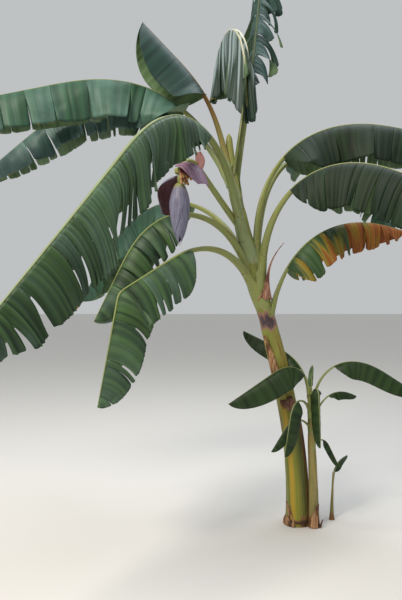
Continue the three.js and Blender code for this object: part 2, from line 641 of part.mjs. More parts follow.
const leafMaterial = (leaf) => {
  if (leaf.name.endsWith('withered')) return MATERIALS.withered;
  return leaf.name.endsWith('folded') ? MATERIALS.leafPale : MATERIALS.leaf;
};

/** The leaves of one stem as pieces, each with a seed of its own. */
function leafPieces(leaves, stem, firstSeed) {
  return leaves.map((entry, k) => {
    const leaf = { ...YOUNG_LEAF, ...entry, seed: firstSeed + k };
    return { name: leaf.name, shape: (grow) => toSolid(leafShape(leaf, stem, grow)), material: leafMaterial(leaf) };
  });
}

/** Every piece in the order in which they fit together: a later piece is cut clear of the earlier ones. */
const pieces = [
  { name: 'main_stem', shape: (grow) => toSolid(stemShape(MAIN_STEM, grow)), material: MATERIALS.stem },
  { name: 'sucker_stem', shape: (grow) => toSolid(stemShape(SUCKER_STEM, grow)), material: MATERIALS.stem },
  { name: 'sprout_stem', shape: (grow) => toSolid(stemShape(SPROUT_STEM, grow)), material: MATERIALS.stalk },
  { name: 'outer_sheath', shape: (grow) => toSolid(sheathShape(grow)), material: MATERIALS.sheath },
  ...DRY_PIECES.map((piece) => (
    { name: piece.name, shape: (grow) => toSolid(dryShape(piece, grow)), material: MATERIALS.dry })),
  { name: 'flower_stalk', shape: (grow) => toSolid(flowerStalkShape(grow)), material: MATERIALS.stalk },
  { name: 'flower_bud', shape: (grow) => toSolid(budShape(grow)), material: MATERIALS.bud },
  ...BRACTS.map((bract) => (
    { name: bract.name, shape: (grow) => toSolid(bractShape(bract, grow)), material: MATERIALS.bract })),
  { name: 'flower_hand', shape: (grow) => flowersSolid(grow), material: MATERIALS.flower },
  ...leafPieces(LEAVES, MAIN_STEM, 1),
  ...leafPieces(SUCKER_LEAVES, SUCKER_STEM, 21),
  ...leafPieces(SPROUT_LEAVES, SPROUT_STEM, 31),
];

const plant = new THREE.Group();
plant.name = 'banana_plant';
const placed = [];
for (const piece of pieces) {
  let solid = piece.shape(0);
  for (const grown of placed) solid = solid.subtract(grown);
  const mesh = new THREE.Mesh(toGeometry(largestBody(solid)), piece.material);
  mesh.name = piece.name;
  plant.add(mesh);
  placed.push(piece.shape(CLEARANCE));
}

export default plant;
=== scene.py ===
import math
from contextlib import contextmanager
from dataclasses import dataclass

import bpy
import numpy as np
from bpy.props import FloatProperty, FloatVectorProperty, IntProperty, PointerProperty
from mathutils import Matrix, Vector


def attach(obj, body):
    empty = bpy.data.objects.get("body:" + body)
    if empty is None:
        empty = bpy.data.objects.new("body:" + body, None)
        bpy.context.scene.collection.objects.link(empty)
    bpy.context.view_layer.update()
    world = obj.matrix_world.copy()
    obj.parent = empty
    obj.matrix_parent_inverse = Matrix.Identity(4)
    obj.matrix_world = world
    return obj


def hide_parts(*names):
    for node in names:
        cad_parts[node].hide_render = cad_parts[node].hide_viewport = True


# A flowering banana plant with its suckers. Metres, +Z up, +X to the viewer's right, +Y away from them.
# Leaves and stems follow the rules of the frame's solids, carried to finer tears, pleats and relief.

bl_info = {
    "name": "Banana Plant",
    "version": (1, 0, 0),
    "blender": (4, 5, 0),
    "location": "View3D > Sidebar > Banana",
    "description": "Builds a flowering banana plant with torn, pleated leaves round its packed solids",
    "category": "Add Mesh",
}

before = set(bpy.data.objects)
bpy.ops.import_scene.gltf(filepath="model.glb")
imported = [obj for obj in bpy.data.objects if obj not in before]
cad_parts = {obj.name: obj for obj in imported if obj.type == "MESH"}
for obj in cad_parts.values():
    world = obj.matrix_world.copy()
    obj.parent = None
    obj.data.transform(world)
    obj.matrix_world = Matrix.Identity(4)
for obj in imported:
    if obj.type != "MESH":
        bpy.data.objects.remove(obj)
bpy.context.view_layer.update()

CAMERA_PLACE = (-0.767, -4.66, 1.70)
CAMERA_PITCH = 0.885            # degrees above level
FOCAL_PIXELS = 583.0
FRAME_PIXELS = 600.0            # long side of the photograph's frame
SENSOR = 36.0                   # millimetres
LIT_PLACE = Vector((-0.5, 0, 2.0))      # what the lamps point at


# Driving dimensions

@dataclass
class Stem:
    """One stem: where it stands, its height, and its radii at the foot, the waist and the top."""
    x: float
    y: float
    height: float
    foot: float
    waist: float
    waist_height: float
    top: float
    flare: float                # added radius at the ground
    flare_height: float
    crown: float                # added radius round the height where the leaf stalks part
    crown_height: float
    crown_span: float
    lean: float                 # how far it leans towards -X
    lean_span: float            # height at which the lean is complete
    lean_power: float


@dataclass
class Leaf:
    """One leaf. Angles are in degrees, and left and right are the sides seen from the stem."""
    name: str
    foot: float                 # height at which the stalk leaves the stem
    azimuth: float
    rise: float                 # slope of the midrib at its foot and at its tip
    fall: float
    turn: tuple                 # shares of its length between which the slope changes
    stalk: float                # lengths of the stalk and of the blade
    blade: float = 0.0
    half: float = 0.0           # widest half width of the blade
    left: float = 0.0           # how steeply each half hangs
    right: float = 0.0
    veer: float = 0.0
    droop: float = 0.0          # how plumb the margins hang
    strips: int = 1             # pieces between the large tears of a half
    gap: float = 0.0            # width of a large tear at the margin
    size: float = 1.0           # factor on the thickness of the stalk
    widen: float = 0.25         # share of the blade over which it widens
    torn: float = 0.0           # how deep the tears go, from 0 to 1
    shreds: float = 1.0         # factor on the number of fine tears and on how unevenly the strips hang
    snap_at: float = 0.0        # share of the midrib at which it is broken, and by how many degrees
    snap_by: float = 0.0
    fold: float = 0.005         # depth of the folds along the side veins
    pleat: float = 1.0          # factor on the distance between the folds
    limp: tuple = (0.0, 0.0)    # how plumb the left and right halves hang from the midrib on, near its foot
    longer: float = 0.0         # how much longer the hanging strips are, most of all there
    rib: float = 1.0            # factor on the midrib's width along the blade
    ribbon: float = 0.0         # how far a torn strip narrows towards the margin
    roll: tuple = (0.0, 0.0)    # turn of the blade about its midrib, at its foot and a sixth of its length on
    tucked: float = 0.0         # how far the right half starts under the midrib, as a share of its half width
    clasp: float = 1.0          # factor on the height of the stalk's sheath on the stem
    drape: float = 0.35         # share of the full hang that the blade has where it leaves the midrib
    spread: float = 1.0         # factor on the droop at the tip
    # The bloom on the blade is partly wax and partly painted sheen.
    wax: float = 0.5            # bluish bloom on the blade
    dry: float = 0.0            # share of the way to a withered leaf
    tone: str = "deep"
    stalk_tone: str = "fresh"
    seed: int = 0


MAIN_STEM = Stem(x=0, y=0, height=3.05, foot=0.084, waist=0.064, waist_height=1.5, top=0.03, flare=0.022,
                 flare_height=0.09, crown=0.015, crown_height=2.05, crown_span=0.33, lean=0.55, lean_span=3.3,
                 lean_power=1.15)
SUCKER_STEM = Stem(x=0.115, y=-0.07, height=1.06, foot=0.041, waist=0.024, waist_height=0.76, top=0.012,
                   flare=0.011, flare_height=0.06, crown=0, crown_height=0.9, crown_span=0.1, lean=0.024,
                   lean_span=1.1, lean_power=1.2)
SPROUT_STEM = Stem(x=0.29, y=0.08, height=0.38, foot=0.015, waist=0.009, waist_height=0.26, top=0.005,
                   flare=0.009, flare_height=0.04, crown=0, crown_height=0.3, crown_span=0.1, lean=-0.012,
                   lean_span=0.42, lean_power=1.2)
LOWER_TAPER = 1.6
UPPER_TAPER = 1.8
POINTED_TOP = [(0.8, 0.75), (0.7, 0.6), (0.4, 0.2)]     # rises, as shares of the top radius, and growths


def young_leaf(name, fold=0.002, **sizes):
    """A whole leaf of a sucker, hardly folded and with little bloom."""
    return Leaf(name, fold=fold, wax=0.1, tone="young", **sizes)


LEAVES = [
    Leaf("leaf_flag", foot=2.8, azimuth=198, rise=74, fall=42, turn=(0.15, 0.78), stalk=0.62, blade=0.72,
         half=0.31, widen=0.14, left=88, right=86, size=0.8, fold=0.002, wax=0.25, tone="dusky",
         stalk_tone="rusty"),
    Leaf("leaf_top_folded", foot=2.66, azimuth=122, veer=-25, rise=106, fall=-42, turn=(0.21, 1), stalk=0.9,
         blade=1.45, half=0.45, widen=0.1, left=86, right=84, droop=1.8, strips=6, torn=0.3, gap=0.014,
         fold=0.02, pleat=1.1, limp=(0.8, 0.8), longer=0.22, rib=1.7, roll=(-190, -85), drape=0.9,
         tucked=1.5, wax=0.15, tone="pale", stalk_tone="white"),
    Leaf("leaf_top_torn", foot=2.73, azimuth=58, veer=25, rise=71, fall=-27, turn=(0.6, 1), stalk=0.87,
         blade=2.23, half=0.28, widen=0.7, left=80, right=60, droop=0.9, strips=8, torn=1, gap=0.06,
         size=0.85, longer=0.45, ribbon=0.45, rib=0.6, wax=1.0, tone="dusky", stalk_tone="dark"),
    Leaf("leaf_left_high", foot=2.82, azimuth=192, veer=1, rise=57, fall=-16, turn=(0, 0.64), stalk=0.57,
         blade=2.11, half=0.35, widen=0.22, left=86, right=50, droop=0.35, strips=5, torn=0.2, gap=0.012,
         size=0.9, wax=1.0, stalk_tone="waxed"),
    Leaf("leaf_left_second", foot=2.69, azimuth=171, veer=17, rise=62, fall=-42, turn=(0, 0.85), stalk=0.61,
         blade=1.99, half=0.33, widen=0.2, left=82, right=66, droop=0.4, strips=6, torn=0.6, gap=0.022,
         size=0.9, wax=1.0, tone="blue", stalk_tone="waxed"),
    Leaf("leaf_left_front", foot=2.25, azimuth=241, veer=-8, rise=63, fall=-47, turn=(0.03, 0.57),
         stalk=0.9, blade=2.68, half=0.41, widen=0.42, left=80, right=50, droop=1.6, strips=7, torn=0.3,
         gap=0.024, size=1.1, fold=0.012, pleat=0.55, shreds=2.6, limp=(0.3, 0), drape=0.6, spread=0.3,
         wax=0.6, tone="mid", stalk_tone="waxed"),
    Leaf("leaf_left_low", foot=1.85, azimuth=200, veer=-1, rise=69, fall=-64, turn=(0.04, 0.8), stalk=0.97,
         blade=1.05, half=0.29, widen=0.15, left=78, right=70, droop=0.5, strips=5, torn=0.5, gap=0.024,
         tone="mid"),
    Leaf("leaf_left_bent", foot=1.85, azimuth=215, veer=-6, rise=55, fall=-31, turn=(0, 0.45), stalk=0.75,
         blade=1.43, half=0.33, widen=0.16, left=76, right=70, droop=0.6, strips=5, torn=0.5, gap=0.024,
         snap_at=0.64, snap_by=-48, tone="mid"),
    Leaf("leaf_right_high", foot=2.07, azimuth=2, veer=-9, rise=91, fall=-15, turn=(0, 0.73), stalk=0.89,
         blade=1.94, half=0.34, widen=0.14, left=66, right=84, droop=0.4, strips=5, torn=0.2, gap=0.014,
         wax=0.3, tone="shaded"),
    Leaf("leaf_right_front", foot=1.94, azimuth=324, veer=6, rise=83, fall=-30, turn=(0, 0.64), stalk=0.76,
         blade=2.04, half=0.39, widen=0.14, left=66, right=84, droop=0.45, strips=5, torn=0.4, gap=0.018,
         wax=0.3, tone="shaded"),
    Leaf("leaf_right_withered", foot=1.66, azimuth=357, veer=22, rise=74, fall=-13, turn=(0, 1), stalk=0.39,
         blade=1.18, half=0.3, widen=0.1, left=60, right=80, droop=0.5, strips=6, torn=0.7, gap=0.026,
         size=0.75, wax=0.3, dry=0.62, clasp=0.15, tone="mid"),
    Leaf("leaf_back_left", foot=1.9, azimuth=154, veer=3, rise=70, fall=-56, turn=(0.01, 0.84), stalk=0.93,
         blade=1.48, half=0.3, widen=0.2, left=74, right=74, droop=0.5, strips=5, torn=0.5, gap=0.024),
    Leaf("leaf_back_right", foot=2.06, azimuth=40, veer=-12, rise=84, fall=-40, turn=(0.03, 0.85),
         stalk=1.0, blade=1.56, half=0.27, widen=0.2, left=74, right=74, droop=0.5, strips=5, torn=0.5,
         gap=0.024),
]
SUCKER_LEAVES = [
    young_leaf("sucker_leaf_spear", foot=1.03, azimuth=300, rise=86, fall=84, turn=(0, 1), stalk=0.06,
               blade=0.17, half=0.026, left=-40, right=-40, size=0.28, fold=0.001),
    young_leaf("sucker_leaf_left", foot=1.02, azimuth=195, veer=-3, rise=85, fall=-32, turn=(0.02, 0.54),
               stalk=0.165, blade=0.72, half=0.185, left=78, right=60, droop=0.3, size=0.42),
    young_leaf("sucker_leaf_right", foot=0.9, azimuth=352, veer=-1, rise=84, fall=-33, turn=(0, 0.77),
               stalk=0.41, blade=0.71, half=0.15, left=60, right=78, droop=0.3, size=0.42),
    young_leaf("sucker_leaf_back", foot=1.0, azimuth=150, rise=82, fall=23, turn=(0.01, 0.65), stalk=0.24,
               blade=0.59, half=0.13, left=74, right=60, droop=0.3, size=0.38),
    young_leaf("sucker_leaf_small", foot=0.8, azimuth=15, veer=8, rise=68, fall=-24, turn=(0.07, 1),
               stalk=0.265, blade=0.275, half=0.07, left=50, right=70, droop=0.2, size=0.3),
    young_leaf("sucker_leaf_front", foot=0.96, azimuth=288, rise=68, fall=-86, turn=(0.14, 0.38),
               stalk=0.15, blade=0.47, half=0.08, left=80, right=76, droop=0.1, size=0.32),
    young_leaf("sucker_leaf_drooping", foot=0.9, azimuth=224, veer=-2, rise=59, fall=-76, turn=(0, 0.57),
               stalk=0.2, blade=0.44, half=0.105, left=84, right=80, droop=0.1, size=0.35),
    young_leaf("sucker_leaf_lowest", foot=0.78, azimuth=197, veer=-1, rise=47, fall=-55, turn=(0, 0.57),
               stalk=0.15, blade=0.31, half=0.072, left=82, right=80, droop=0.1, size=0.3),
    young_leaf("sucker_leaf_low_right", foot=0.65, azimuth=359, rise=38, fall=-64, turn=(0, 0.46),
               stalk=0.08, blade=0.265, half=0.048, left=76, right=76, droop=0.1, size=0.28),
]
SPROUT_LEAVES = [
    young_leaf("sprout_leaf", foot=0.33, azimuth=40, rise=70, fall=10, turn=(0, 1), stalk=0.05, blade=0.21,
               half=0.036, left=40, right=40, size=0.2, fold=0.001),
]
FIRST_SEED, FIRST_SUCKER_SEED, FIRST_SPROUT_SEED = 1, 21, 31

# Section of a stalk and midrib, for a full-size leaf
RIB_FOOT = 0.032                # half widths at the stem, where the blade starts, and at its tip
RIB_HEAD = 0.020
RIB_TIP = 0.004
RIB_CHANNEL = 0.35              # depth of the stalk's channel, as a share of its width
RIB_DEPTH = 1.15                # depth of the rounded back, as a share of the half width
RIB_ROOT = 0.5                  # share of the stem's radius at which the midrib's line starts
RIB_STEPS = 140
SNAP_HALF = 0.025               # share of the midrib over which a break bends, to each side of it
RIB_STAND = 0.5                 # height of the midrib's pale rims on the blade, as a share of it
BLADE_ROOT = 0.05               # height at which the blade leaves the midrib, as a share of it
FOOT_FLARE = 0.4                # how much wider the stalk is where it clasps the stem
FOOT_LENGTH = 0.2               # length of that widening, for a full-size leaf
CLASP_DROP = 0.28               # how far a stalk's sheath is seen down the stem, for a full-size leaf
CLASP_CLIMB = 0.18              # how far it goes up the stalk

# Blade, by the rule of the solids
FOOT_ROUNDNESS = 0.6
FULL_FROM = 0.3
TIP_POWER = 2.8
TIP_ROUNDNESS = 0.65
HANG_REACH = 0.3                # share of the half width over which it bends down
FOOT_HANG = 0.6                 # share of the full hang at the blade's foot
FOOT_SPAN = 0.2                 # share of the blade over which that grows to all of it
TEAR_FIRST = 0.06               # shares of the blade at which the large tears start, and over which they lie
TEAR_SPAN = 0.86
TEAR_JITTER = 0.45
BLADE_SOLID = 0.0018            # thickness of a broad blade
BROAD_BLADE = 0.6               # length from which a blade is broad
THINNER = 0.6                   # factor on the thickness of the others
LONGEST_TEAR = 1.5              # most that shreds may do to the depth of a fine tear
TEAR_CLEAR = 0.04               # least distance between a fine tear and its neighbours
WAVE_LENGTH = 0.62              # of the slow wave along a blade's margin
WAVE_HEIGHT = 0.1               # of it, as a share of the half width

# Loose sheath: heights, how it sits on the trunk, start and turn round it in degrees, and its narrow top
OUTER_SHEATH = dict(low=0.04, high=0.985, seat=0.0022, thickness=0.009, start=230, turn=262,
                    narrow_from=0.72, narrow_by=0.75)
# Dry pieces: place, heights, width, how far the top and the middle stand off, and how far all of it does
DRY_PIECES = {
    "dry_sheath_left": dict(azimuth=230, low=1.12, high=1.49, width=0.09, stand=0.022, bulge=0.004,
                            over=0.007),
    "dry_stalk_right": dict(azimuth=328, low=1.79, high=2.21, stand=0.23, bulge=0, over=0.016),
}
# Stub: place and height of its middle, how it stands off the trunk, and half its size each way
STUB = dict(azimuth=278, middle=0.96, over=0.0112, seat=0.012, size=(0.042, 0.046, 0.056))
DRY_SINK = 0.008                # how far the foot of a dry piece reaches in
DRY_TAPER = 0.86                # share of the width that is gone at its top
DRY_TAPER_POWER = 1.4
# Tops and azimuths of the sheaths whose leaves are gone
GONE_LEAVES = [(2.42, 120), (2.2, 290), (1.62, 75), (1.5, 262), (1.12, 150), (0.8, 20), (0.5, 190)]
GONE_SUCKER_LEAVES = [(0.52, 60), (0.4, 250), (0.3, 330)]
SCARS = [(1.5, 1.72, 262, 115), (1.1, 1.24, 212, 60)]       # low, high, azimuth, reach round the stem
# Flaps: stem, azimuth, height, width, how far the top stands off, how far it leans aside in degrees
FOOT_FLAPS = [(MAIN_STEM, 238, 0.2, 0.05, 0.03, -16), (MAIN_STEM, 205, 0.09, 0.1, 0.02, 12),
              (MAIN_STEM, 75, 0.15, 0.07, 0.03, 14), (SUCKER_STEM, 258, 0.2, 0.06, 0.02, 30),
              (SUCKER_STEM, 330, 0.07, 0.05, 0.02, -10)]

FLOWER_STALK = Leaf("flower_stalk", foot=2.34, azimuth=220, veer=10, rise=42, fall=-91, turn=(0.6, 0.99),
                    stalk=0.95)
FLOWER_STALK_RADIUS = 0.021
FLOWER_STALK_RINGS = 22         # scars of fallen bracts round it
BUD_LENGTH = 0.452
BUD_RADIUS = 0.072
BUD_CROWN = 0.026
BUD_SHOULDER = 0.36
BUD_SHELLS = 12
BUD_SPIRAL = 137.5              # degrees from each bract to the next
# Open bracts: place round the stalk, height above the bud, distance of the hinge, slopes, size and cup
BRACTS = {
    "bract_lifted": dict(azimuth=316, above=0.138, hinge=0.012, rise=4, fall=-64, length=0.33, half=0.094,
                         cup=54, tone="blush"),
    "bract_hanging": dict(azimuth=150, above=0.056, hinge=0.012, rise=-12, fall=-104, length=0.36,
                          half=0.085, cup=44, tone="bud"),
    "bract_raised": dict(azimuth=40, above=0.112, hinge=0.165, rise=80, fall=98, length=0.14, half=0.042,
                         cup=60, tone="rose"),
}
BRACT_WIDER = 1.25              # the bracts' thin rolled margins reach past their solids
# Young flowers: how many in how many rows, their size, the fan's middle and spread, droop, and the collar
FLOWERS = dict(count=7, rows=2, length=0.105, radius=0.010, azimuth=322, spread=84, drop=40, drop_step=16,
               collar=0.036, above=0.088, row_height=0.012, row_step=0.020)


# Numbers and rules

def smoothstep(x, low, high):
    t = np.clip((np.asarray(x, float) - low) / (high - low), 0.0, 1.0)
    return t * t * (3 - 2 * t)


def lerp(a, b, t):
    return a + (b - a) * t


def chance(seed, k):
    """The solids' repeatable number from 0 to 1 for the k-th choice of a seed."""
    wave = math.sin(seed * 12.9898 + k * 78.233) * 43758.5453
    return wave - math.floor(wave)


def ripple(x, y, seed):
    """A smooth irregular pattern from -1 to 1."""
    return (np.sin(x + 2.1 * np.sin(0.7 * y + seed) + seed) * 0.6
            + np.sin(2.3 * x - 1.7 * y + 1.3 * np.sin(1.9 * x) + 2 * seed) * 0.4)


def around(angle, reach):
    return np.stack(np.broadcast_arrays(reach * np.cos(angle), reach * np.sin(angle), 0.0 * angle), axis=-1)


def direction(slope, heading):
    level = np.cos(slope)
    return np.stack([level * np.cos(heading), level * np.sin(heading), np.sin(slope)], axis=-1)


def stem_centre(stem, z):
    z = np.asarray(z, float)
    share = 0.5 - 0.5 * np.cos(np.pi * np.clip(z, 0, None) / stem.lean_span)
    return np.stack([stem.x - stem.lean * share ** stem.lean_power, stem.y + 0 * z, z], axis=-1)


def stem_radius(stem, z):
    z = np.clip(np.asarray(z, float), 0, stem.height)
    below = stem.waist + (stem.foot - stem.waist) * (1 - np.minimum(z / stem.waist_height, 1) ** LOWER_TAPER)
    above = np.clip((z - stem.waist_height) / (stem.height - stem.waist_height), 0, 1)
    crown = stem.crown * np.exp(-((z - stem.crown_height) / stem.crown_span) ** 2)
    flare = stem.flare * np.exp(-z / stem.flare_height)
    return below - (stem.waist - stem.top) * above ** UPPER_TAPER + crown + flare


class Midrib:
    """The line of a leaf's midrib: the slope turns from rise to fall, and the direction veers."""

    def __init__(self, leaf, stem):
        share = (np.arange(RIB_STEPS) + 0.5) / RIB_STEPS
        slope = leaf.rise + (leaf.fall - leaf.rise) * smoothstep(share, *leaf.turn)
        if leaf.snap_at:
            slope += leaf.snap_by * smoothstep(share, leaf.snap_at - SNAP_HALF, leaf.snap_at + SNAP_HALF)
        self.total = leaf.stalk + leaf.blade
        self.slopes = np.radians(slope)
        self.headings = np.radians(leaf.azimuth + leaf.veer * share)
        inset = RIB_ROOT * stem_radius(stem, leaf.foot)
        start = stem_centre(stem, leaf.foot) + around(np.radians(leaf.azimuth), inset)
        steps = direction(self.slopes, self.headings) * self.total / RIB_STEPS
        self.points = np.vstack([start, start + np.cumsum(steps, axis=0)])

    def at(self, distance):
        """Points, and directions along, right and up, at distances from the stem."""
        position = np.clip(distance / self.total, 0, 1) * RIB_STEPS
        k = np.minimum(position.astype(int), RIB_STEPS - 1)
        point = lerp(self.points[k], self.points[k + 1], (position - k)[:, None])
        middle = np.clip(position - 0.5, 0, RIB_STEPS - 1)
        slope = np.interp(middle, np.arange(RIB_STEPS), self.slopes)
        heading = np.interp(middle, np.arange(RIB_STEPS), self.headings)
        along = direction(slope, heading)
        right = np.stack([np.sin(heading), -np.cos(heading), 0 * heading], axis=-1)
        return point, along, right, np.cross(right, along)


def rib_half_width(leaf, distance):
    on_stalk = lerp(RIB_FOOT, RIB_HEAD, np.clip(distance / leaf.stalk, 0, 1))
    share = np.clip((distance - leaf.stalk) / max(leaf.blade, 1e-6), 0, 1)
    on_blade = lerp(RIB_HEAD * lerp(1, leaf.rib, smoothstep(share, 0, 0.2)), RIB_TIP, share ** 0.6)
    return leaf.size * np.where(distance < leaf.stalk, on_stalk, on_blade)


def outline(leaf, share):
    """Half width of the blade at a share of its length, as a share of the widest."""
    widening = (1 - (1 - np.minimum(share / leaf.widen, 1)) ** 2) ** FOOT_ROUNDNESS
    past = np.clip((share - FULL_FROM) / (1 - FULL_FROM), 0, 1)
    return widening * (1 - past ** TIP_POWER) ** TIP_ROUNDNESS


# Meshes

def deselect_all():
    bpy.ops.object.select_all(action="DESELECT")


def make_active(piece):
    deselect_all()
    piece.select_set(True)
    bpy.context.view_layer.objects.active = piece


@contextmanager
def all_in_edit_mode():
    """Edit mode on the active piece, with all of it selected."""
    bpy.ops.object.mode_set(mode="EDIT")
    bpy.ops.mesh.select_all(action="SELECT")
    yield
    bpy.ops.object.mode_set(mode="OBJECT")


def new_active(name):
    """Names the piece that an operator has just added."""
    piece = bpy.context.active_object
    piece.name = name
    return piece


def settle():
    """Puts the active piece's place and size into its mesh."""
    bpy.ops.object.transform_apply(location=True, rotation=True, scale=True)


def apply_modifier(piece, kind, **settings):
    make_active(piece)
    modifier = piece.modifiers.new(kind.title(), kind)
    for key, value in settings.items():
        setattr(modifier, key, value)
    bpy.ops.object.modifier_apply(modifier=modifier.name)


def vertices(mesh):
    """The places of a mesh's vertices, as rows of an array."""
    places = np.empty(len(mesh.vertices) * 3)
    mesh.vertices.foreach_get("co", places)
    return places.reshape(-1, 3)


def set_numbers(mesh, values):
    """Gives the vertices of a mesh their numbers, by name."""
    for key, numbers in values.items():
        mesh.attributes.new(key, "FLOAT", "POINT").data.foreach_set("value", numbers.astype(np.float32))


def grid_faces(rows, columns, first=0, closed=False):
    """Quads of a grid whose vertices are numbered row by row."""
    width = columns if closed else columns + 1
    i, j = np.meshgrid(np.arange(rows), np.arange(columns), indexing="ij")
    n = (j + 1) % width
    quads = np.stack([i * width + j, (i + 1) * width + j, (i + 1) * width + n, i * width + n], axis=-1)
    return quads.reshape(-1, 4) + first


def mesh_piece(name, points, quads, materials, uv, values=None):
    """A mesh object from arrays. uv has a pair for each point, and values a number for each, by name."""
    mesh = bpy.data.meshes.new(name)
    mesh.from_pydata(points.tolist(), [], quads.tolist())
    for material in materials:
        mesh.materials.append(material)
    mesh.uv_layers.new(name="vein").data.foreach_set("uv", uv[quads.ravel()].ravel())
    set_numbers(mesh, values or {})
    mesh.update()
    piece = bpy.data.objects.new(name, mesh)
    bpy.context.scene.collection.objects.link(piece)
    return piece


def outward(piece):
    make_active(piece)
    with all_in_edit_mode():
        bpy.ops.mesh.normals_make_consistent(inside=False)


def tube_piece(name, spine, right, up, across, above, uv, material):
    """A smooth closed tube. The points of each ring lie to the right of a spine and above it."""
    places = spine[:, None] + across[..., None] * right[:, None] + above[..., None] * up[:, None]
    rings, sides = across.shape
    uv = np.stack(np.broadcast_arrays(*uv), axis=-1).reshape(-1, 2)
    piece = mesh_piece(name, places.reshape(-1, 3), grid_faces(rings - 1, sides, closed=True), [material], uv)
    make_active(piece)
    with all_in_edit_mode():
        bpy.ops.mesh.region_to_loop()
        bpy.ops.mesh.fill_holes(sides=0)
    outward(piece)
    bpy.ops.object.shade_smooth()
    return piece


def joined(name, pieces):
    deselect_all()
    for piece in pieces:
        piece.select_set(True)
    bpy.context.view_layer.objects.active = pieces[0]
    bpy.ops.object.join()
    return new_active(name)


def finish_piece(piece, slot, *nodes):
    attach(piece, "root")
    if nodes:
        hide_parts(*nodes)


# Materials

def linear(hex_colour):
    """An sRGB hex colour as linear RGBA."""
    channels = [int(hex_colour[k:k + 2], 16) / 255 for k in (1, 3, 5)]
    return (*[c / 12.92 if c <= 0.04045 else ((c + 0.055) / 1.055) ** 2.4 for c in channels], 1.0)


def add(tree, kind, *inputs, output=0, **settings):
    """Adds a shader node and returns one of its outputs, by name or number.

    inputs are numbers, hex colours or other nodes' outputs, in the order of the sockets in use. None leaves a
    socket as it is.
    """
    node = tree.nodes.new("ShaderNode" + kind)
    for key, value in settings.items():
        setattr(node, key, value)
    for socket, value in zip([socket for socket in node.inputs if socket.enabled], inputs):
        if isinstance(value, bpy.types.NodeSocket):
            tree.links.new(value, socket)
        elif value is not None:
            socket.default_value = linear(value) if isinstance(value, str) else value
    return node.outputs[output]


def streaks(tree, place, scale, detail=3.0):
    """Noise drawn out by a scale for each direction: one over the width of its streaks, in metres."""
    return add(tree, "TexNoise", add(tree, "Mapping", place, None, None, scale), 1.0, detail, 0.6)


def tint(tree, base, colour, pattern, low, high, least=0.0, most=1.0):
    """A base colour with another over it, from least to most of it as a pattern goes from low to high."""
    share = add(tree, "MapRange", pattern, low, high, least, most)
    return add(tree, "Mix", share, base, colour, output=2, data_type="RGBA")


def held_numbers(tree, *names):
    """The numbers that a mesh holds for its vertices, each by its name."""
    return [add(tree, "Attribute", output="Fac", attribute_name=name) for name in names]


def new_material(name, roughness, specular):
    """An empty material: itself, its node tree and its shader."""
    material = bpy.data.materials.new(name)
    material.use_nodes = True
    tree = material.node_tree
    shader = next(n for n in tree.nodes if n.type == "BSDF_PRINCIPLED")
    shader.inputs["Roughness"].default_value = roughness
    shader.inputs["Specular IOR Level"].default_value = specular
    return material, tree, shader


def dress(tree, shader, base, height, strength, distance):
    """Gives a shader its colour, and relief from a height."""
    tree.links.new(base, shader.inputs["Base Color"])
    tree.links.new(add(tree, "Bump", strength, distance, None, height), shader.inputs["Normal"])


def blade_material(name, dark, light, bloom, roughness, panel=0.055, blend=0.9):
    """Living leaf blade: a waxy skin over side veins that run square to the midrib.

    The eye sees long straight streaks from midrib to margin, partly noise and partly painted highlight on
    the fold crests and painted shade in the valleys; a blue-grey bloom on some strips, partly wax and partly
    painted sheen; and a dead margin that goes from yellow to brown. Side veins, 6 mm apart, are too fine to
    show and are drawn 12 mm apart.
    """
    material, tree, shader = new_material(name, roughness, 0.25)
    place = add(tree, "UVMap", uv_map="vein")
    dryness, wax, crest = held_numbers(tree, "dryness", "bloom", "crest")
    veins = streaks(tree, place, (1 / 0.012, 0.5, 1.0), 2.0)
    panels = streaks(tree, place, (1 / panel, 0.35, 1.0))
    clouds = streaks(tree, place, (4.0, 5.0, 1.0), 4.0)
    streaked = add(tree, "Math", add(tree, "MapRange", veins, 0.3, 0.7, 0.75, 1.25),
                   add(tree, "MapRange", panels, 0.3, 0.7, -0.4, 0.4))
    dead = add(tree, "Math", dryness, streaked, operation="MULTIPLY")
    # Painted highlight and shade: the noise panels and the fold crests lighten, the valleys darken.
    folded = add(tree, "Math", add(tree, "MapRange", panels, 0.36, 0.64, -0.6, 0.6), crest)
    base = tint(tree, dark, light, folded, -blend, blend)
    base = tint(tree, base, light, veins, 0.5, 0.75, 0.0, 0.25)
    cloudy = add(tree, "MapRange", clouds, 0.3, 0.65, 0.35, 1.0)
    # Blue-grey bloom, partly the leaf's wax and partly painted sheen of the sky.
    waxed = add(tree, "Math", wax, cloudy, operation="MULTIPLY")
    base = add(tree, "Mix", waxed, base, bloom, output=2, data_type="RGBA")
    base = tint(tree, base, "#8a7a26", dead, 0.34, 0.5)
    browned = tint(tree, "#4f2813", "#a8682a", veins, 0.4, 0.57)
    browned = tint(tree, browned, "#7c4422", panels, 0.42, 0.62, 0.0, 0.7)
    base = tint(tree, base, browned, dead, 0.5, 0.62)
    tree.links.new(add(tree, "MapRange", dead, 0.3, 0.7, roughness, 0.8), shader.inputs["Roughness"])
    dress(tree, shader, base, add(tree, "Math", veins, panels), 0.4, 0.004)
    return material


